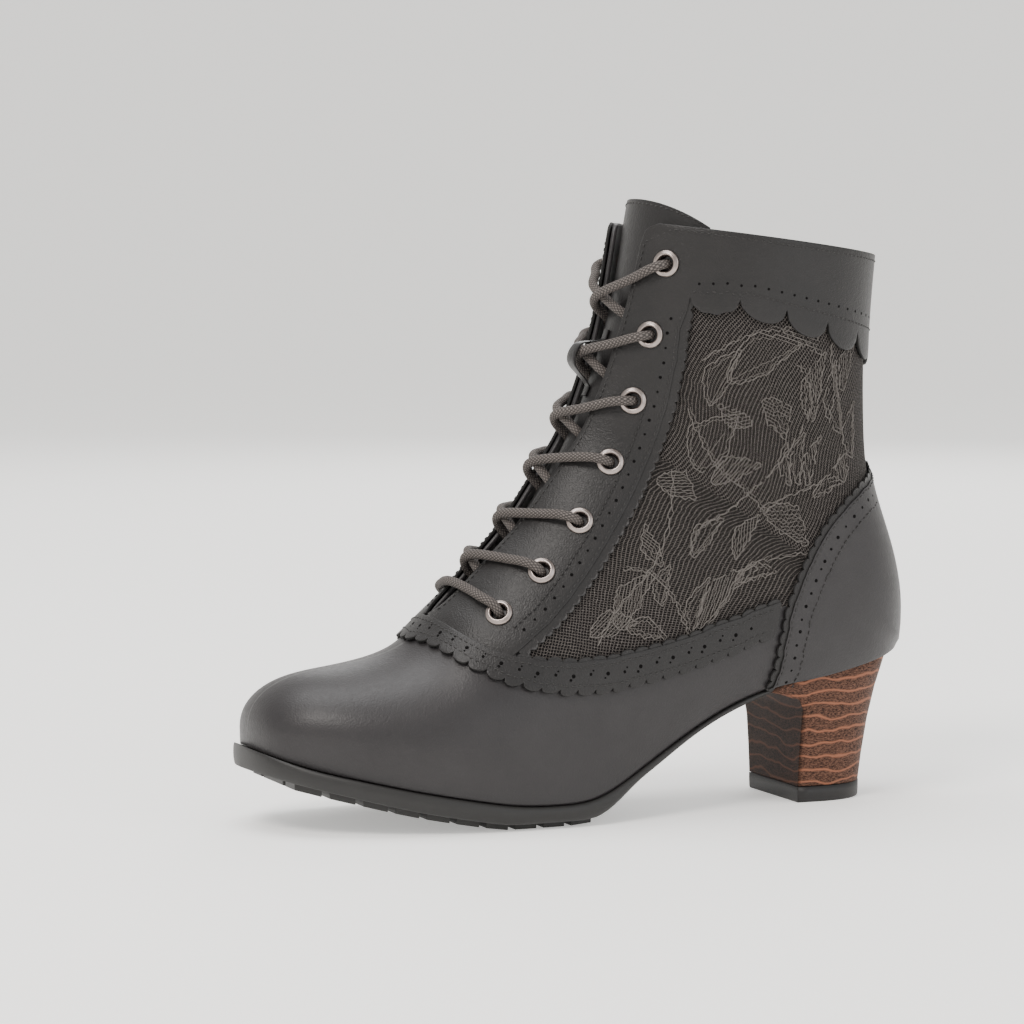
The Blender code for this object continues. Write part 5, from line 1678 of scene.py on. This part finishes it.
def make_tongue():
    outer = tongue_sheet(0.0)
    inner = tongue_sheet(TONGUE_THICK)
    rows, wide = outer.shape[:2]
    count = rows * wide
    top = grid_faces(rows, wide)
    faces = top + [tuple(i + count for i in face[::-1]) for face in top]
    slots = [0] * len(top) + [1] * len(top)
    rims = rim_faces(top, count)
    slots += [0] * len(rims)
    points = np.concatenate([outer.reshape(-1, 3), inner.reshape(-1, 3)])
    tongue = new_piece("leather_tongue", points, faces + rims, [STRAP_LEATHER, LINING], slots)
    round_edges(tongue, 0.55, 3, 50)
    return tongue, outer


tongue, tongue_face = make_tongue()
dress(tongue, "smooth_leather", "tongue")
tongue_trim = Trim()
# Rows of the tongue's mesh that its stitching starts and ends at, and columns it keeps off the edge
STITCHED_FROM = 30
STITCHED_TO = -3
STITCHED_IN = 2
line = np.concatenate([
    tongue_face[STITCHED_FROM:STITCHED_TO, STITCHED_IN],
    tongue_face[STITCHED_TO, STITCHED_IN + 1 : -STITCHED_IN - 1],
    tongue_face[STITCHED_FROM:STITCHED_TO, -STITCHED_IN - 1][::-1],
])
side_out = [wall_normal(COLLAR_STATION * 0.8, tongue_place(0.8, across)[1]) for across in (-0.9, 0.9)]
side_rows = len(tongue_face[STITCHED_FROM:STITCHED_TO])
line_out = np.concatenate([
    np.tile(side_out[0], (side_rows, 1)),
    np.array([wall_normal(COLLAR_STATION - 0.5, tongue_place(1.0, a)[1])
              for a in np.linspace(-0.88, 0.88, TONGUE_COLUMNS - 2 * STITCHED_IN - 1)]),
    np.tile(side_out[1], (side_rows, 1)),
])
tongue_trim.stitches(line, line_out, 0.0)
trim_piece("tongue_stitching", tongue_trim, DARK_THREAD, "smooth_leather")


# Eyelets: rolled brass rings with a gunmetal plating, brushed by wear. Each has a barrel through
# the facing, and seven a side carry the lace.
def plated_gunmetal():
    made, tree, shader, place = mottled_finish("brushed_gunmetal_plate", 0.3, "#8a807b", "#a79c97", 1.2,
                                               metallic=1.0)
    set_bump(tree, shader, noise(tree, place, 1000 / 0.25, 2.0).outputs["Fac"], 0.012)
    return made


GUNMETAL = plated_gunmetal()
EYELET_STAND = OVERLAY_OUTSIDE + 0.1
EYELET_ROUND = 40
# Ring's profile from the barrel's foot, up and over the roll, to the outer rim: radius, height
EYELET_PROFILE = [(2.45, -4.4), (2.5, -1.5), (2.6, -0.2), (2.72, 0.5), (2.95, 0.98), (3.3, 1.28),
                  (3.6, 1.3), (3.85, 1.12), (4.05, 0.95), (4.35, 0.85), (4.6, 0.62), (4.75, 0.3),
                  (4.75, -0.1)]


def frame_on_wall(station, turn):
    out = wall_normal(station, turn)
    along = wall_point(min(station + 0.5, COLLAR_STATION), turn) - wall_point(station - 0.5, turn)
    along = along - out * np.dot(along, out)
    along /= np.linalg.norm(along)
    return wall_point(station, turn), out, along, np.cross(along, out)


def make_eyelet(name, place):
    base, out, along, across = frame_on_wall(*place)
    points = []
    for radius, height in EYELET_PROFILE:
        for k in range(EYELET_ROUND):
            angle = math.tau * k / EYELET_ROUND
            spoke = along * math.cos(angle) + across * math.sin(angle)
            points.append(base + spoke * radius + out * (EYELET_STAND + height))
    faces = [face[::-1] for face in grid_faces(len(EYELET_PROFILE), EYELET_ROUND, ring=True)]
    return new_piece(name, points, faces, [GUNMETAL])


for side, label in SIDES.items():
    for number, place in enumerate(EYELET_PLACES[side], 1):
        ring = make_eyelet(f"plated_eyelet_{label}_{number}", place)
        dress(ring, "gunmetal", f"eyelet_{label}_{number}")


# Lace: a round woven cord of dark and grey thread. It comes out of each eyelet, crosses over the
# tongue and goes in under the far facing to the next eyelet down, and the lowest two share a bar.
LACE_DIAMETER = 3.4
LACE_RADIUS = LACE_DIAMETER / 2
LACE_SAG = 4.0
LACE_SIDES = 14
LACE_PLAIT = 1.5
PLAIT_LEANS = (0.95, -0.95)


def woven_cord():
    made, tree, shader = new_finish("woven_cord", 0.75, Specular_IOR_Level=0.25)
    flat = add_node(tree, "ShaderNodeAttribute", attribute_name="flat").outputs["Vector"]
    strands = crossed_waves(tree, flat, PLAIT_LEANS, LACE_PLAIT / 1.6, Distortion=0.5)
    fuzz = noise(tree, flat, 1 / 0.3, 3.0).outputs["Fac"]
    both = maths(tree, "MULTIPLY_ADD", fuzz, 0.45, maths(tree, "MULTIPLY", *strands))
    tree.links.new(colour_ramp(tree, both, (0.15, "#2b2827"), (0.95, "#6f6864")),
                   shader.inputs["Base Color"])
    set_bump(tree, shader, both, 0.22)
    return made


CORD = woven_cord()
FACING_TOP = OVERLAY_OUTSIDE + LACE_RADIUS


def cord_mesh(name, knots, step=0.7):
    """Round cord swept along a smooth line through given points."""
    knots = np.array(knots, float)
    way = running_length(knots)
    count = max(int(way[-1] / step), 8)
    line = smooth_through(way, knots, np.linspace(0, way[-1], count))
    along = np.gradient(line, axis=0)
    along /= np.linalg.norm(along, axis=1, keepdims=True)
    lift = np.array([0.3, -0.5, 0.8])
    run = running_length(line)
    aside = np.cross(along[0], lift)
    points = []
    flats = []
    for i, (centre, ahead) in enumerate(zip(line, along)):
        aside = aside - ahead * np.dot(aside, ahead)
        aside /= np.linalg.norm(aside)
        up = np.cross(ahead, aside)
        for k in range(LACE_SIDES):
            angle = math.tau * k / LACE_SIDES
            points.append(centre + LACE_RADIUS * (aside * math.cos(angle) + up * math.sin(angle)))
            flats.append((run[i], LACE_RADIUS * min(angle, math.tau - angle), 0.0))
    faces = grid_faces(count, LACE_SIDES, ring=True)
    faces += end_caps(count, LACE_SIDES)
    return new_piece(name, points, faces, [CORD], flat=flats)


def lace_share(start, end, share, height, sag=LACE_SAG):
    """A point over the wall on the way between two eyelets."""
    station = start[0] + (end[0] - start[0]) * share - sag * math.sin(math.pi * share)
    return off_wall(station, start[1] + (end[1] - start[1]) * share, height)


def rim_share(start, end):
    share = np.linspace(0.5, 1, 201)
    station = start[0] + (end[0] - start[0]) * share - LACE_SAG * np.sin(math.pi * share)
    turn = start[1] + (end[1] - start[1]) * share
    beyond = np.abs(turn) >= np.abs(throat_turn(station, 1 if end[1] > 0 else -1))
    return float(share[np.argmax(beyond)])


def strand_knots(start, end, middle):
    """From inside one eyelet, over its rim and facing, across, and under the far facing."""
    rim = rim_share(start, end)
    length = np.linalg.norm(wall_point(*start) - wall_point(*end))
    knots = [lace_share(start, end, 0.0, -3.0, 0), lace_share(start, end, 0.005, 0.6, 0),
             lace_share(start, end, 1.6 / length, FACING_TOP + 0.4),
             lace_share(start, end, 4.2 / length, FACING_TOP + 1.25),
             lace_share(start, end, 8.0 / length, FACING_TOP + 0.35)]
    for share, height in ((0.33, FACING_TOP + 0.25), (0.56, middle)):
        knots.append(lace_share(start, end, share, height))
    knots.append(lace_share(start, end, (0.56 + rim) / 2 + 0.02, middle * 0.35 - 1.0))
    knots.append(lace_share(start, end, rim + 0.01, -WALL - LACE_RADIUS + 0.1))
    knots.append(lace_share(start, end, (rim + 1) / 2 + 0.03, -WALL - LACE_RADIUS - 0.2))
    knots.append(lace_share(start, end, 0.985, -WALL - 1.4))
    knots.append(lace_share(start, end, 1.0, -2.2, 0))
    return knots


for i in range(len(EYELETS) - 1):
    ways = ((EYELET_PLACES[1][i], EYELET_PLACES[-1][i + 1], 3.6, "over"),
            (EYELET_PLACES[-1][i], EYELET_PLACES[1][i + 1], 0.4, "under"))
    for start, end, middle, label in ways:
        strand = cord_mesh(f"lace_strand_{i + 1}_{label}", strand_knots(start, end, middle))
        if label == "over":
            dress(strand, "lace_cord", f"lace_crossing_{i + 1}")
        else:
            dress(strand, "lace_cord")
low_outer, low_inner = EYELET_PLACES[1][-1], EYELET_PLACES[-1][-1]
# Along the bar: share of the way, height over the wall
LOW_BAR = [(0.0, -3.0), (0.005, 0.6), (0.045, FACING_TOP + 0.5), (0.11, FACING_TOP + 1.2),
           (0.22, FACING_TOP + 0.2), (0.5, FACING_TOP), (0.78, FACING_TOP + 0.2),
           (0.89, FACING_TOP + 1.2), (0.955, FACING_TOP + 0.5), (0.995, 0.6), (1.0, -3.0)]
bar = [lace_share(low_outer, low_inner, share, height, sag=LACE_SAG if 0.05 < share < 0.95 else 0)
       for share, height in LOW_BAR]
dress(cord_mesh("lace_low_bar", bar), "lace_cord", "lace_bar")


# Lace keeper: a narrow leather strap sewn to the tongue at both ends. The second crossing runs
# under it, which keeps the tongue in the middle.
KEEPER_WIDTH = 4.2
KEEPER_THICK = 0.9
KEEPER_SEWN = -TONGUE_DEPTH + GAP
# Along the keeper: share of the way from eyelet 2 to eyelet 3, height over the wall
KEEPER_LINE = [(0.10, KEEPER_SEWN), (0.26, KEEPER_SEWN), (0.42, 3.9), (0.55, 6.1), (0.78, 6.1),
               (0.90, 3.8), (1.06, KEEPER_SEWN), (1.20, KEEPER_SEWN)]


def make_keeper():
    high, low = EYELET_PLACES[1][1][0], EYELET_PLACES[1][2][0]
    knots = column(KEEPER_LINE, 0)
    at = np.linspace(knots[0], knots[-1], 60)
    heights = np.clip(smooth_through(knots, column(KEEPER_LINE, 1), at), -TONGUE_DEPTH + 0.1, 7)
    points = []
    columns = 7
    for level in (KEEPER_THICK, 0.0):
        for share, height in zip(at, heights):
            station = high + (low - high) * share
            reach = float(turn_at(KEEPER_WIDTH / 2, section_at(station, True)[4]))
            for turn in np.linspace(-reach, reach, columns):
                points.append(off_wall(station, turn, height + level))
    count = len(at) * columns
    top = grid_faces(len(at), columns)
    faces = [face[::-1] for face in top] + [tuple(i + count for i in face) for face in top]
    faces += rim_faces(faces[: len(top)], count)
    keeper = new_piece("leather_lace_keeper", points, faces, [STRAP_LEATHER])
    round_edges(keeper, 0.25, 2, 50)
    return keeper


dress(make_keeper(), "smooth_leather", "lace_keeper")


# The room: pale studio paper on the floor that curves up into the light all round, and soft lamps.
# The paper glows a little, as a backlit sweep does. The camera stands where the photo was taken.
FLOOR_FLAT = 3.0
FLOOR_CURVE = 3.0
FLOOR_SIDES = 96


def make_room():
    """A round floor of studio paper that curves up at its rim, so that no horizon shows."""
    bends = np.linspace(0, math.radians(75), 16)
    profile = [(0.0, 0.0), (1.0, 0.0)]
    profile += [(FLOOR_FLAT + FLOOR_CURVE * math.sin(k), FLOOR_CURVE * (1 - math.cos(k))) for k in bends]
    points = []
    for reach, height in profile:
        for k in range(FLOOR_SIDES):
            angle = math.tau * k / FLOOR_SIDES
            points.append((reach * math.cos(angle), reach * math.sin(angle), height))
    faces = grid_faces(len(profile), FLOOR_SIDES, ring=True)
    made = new_finish("studio_paper", 0.95, Specular_IOR_Level=0.1, Base_Color=linear("#f3f2f0"),
                      Emission_Color=linear("#fffefb"), Emission_Strength=0.44)[0]
    middle = tuple(range(FLOOR_SIDES, 2 * FLOOR_SIDES))[::-1]
    floor = new_piece("studio_floor", np.array(points) / MM, faces[FLOOR_SIDES:] + [middle], [made])


make_room()


def add_lamp(name, place, target, size, power, colour):
    lamp = bpy.data.lights.new(name, "AREA")
    lamp.shape = "DISK"
    lamp.size = size
    lamp.energy = power
    lamp.color = linear(colour)[:3]
    held = bpy.data.objects.new(name, lamp)
    held.location = place
    held.rotation_euler = (Vector(target) - Vector(place)).to_track_quat("-Z", "Y").to_euler()
    bpy.context.scene.collection.objects.link(held)


BOOT_MIDDLE = (0.0, 0.0, 0.1)
add_lamp("key_softbox", (0.75, -1.0, 1.5), BOOT_MIDDLE, 0.7, 24, "#fffaf5")
add_lamp("fill_softbox", (1.4, 0.9, 0.8), BOOT_MIDDLE, 1.2, 7, "#f7fbff")
add_lamp("top_softbox", (-0.3, -0.2, 1.7), BOOT_MIDDLE, 1.2, 20, "#ffffff")
add_lamp("back_softbox", (-1.4, 0.8, 0.9), BOOT_MIDDLE, 1.1, 10, "#ffffff")
world = bpy.data.worlds.new("studio_air")
world.use_nodes = True
world.node_tree.nodes["Background"].inputs["Color"].default_value = linear("#f2f1ef")
world.node_tree.nodes["Background"].inputs["Strength"].default_value = 0.9
bpy.context.scene.world = world
VIEW_LENS = 136.3
camera = bpy.data.objects.new("photo_view", bpy.data.cameras.new("photo_view"))
camera.data.lens = VIEW_LENS
camera.data.sensor_width = 36.0
camera.data.clip_start = 0.05
camera.data.clip_end = 50.0
VIEW_PLACE = Vector((1247.5, -550.8, 220.1)) * MM
camera.location = VIEW_PLACE
# The view was found by laying the solids over the photograph
VIEW_BACK = Vector((0.9186, -0.3862, 0.0837))
camera.rotation_euler = VIEW_BACK.to_track_quat("Z", "Y").to_euler()
bpy.context.scene.collection.objects.link(camera)
bpy.context.scene.camera = camera
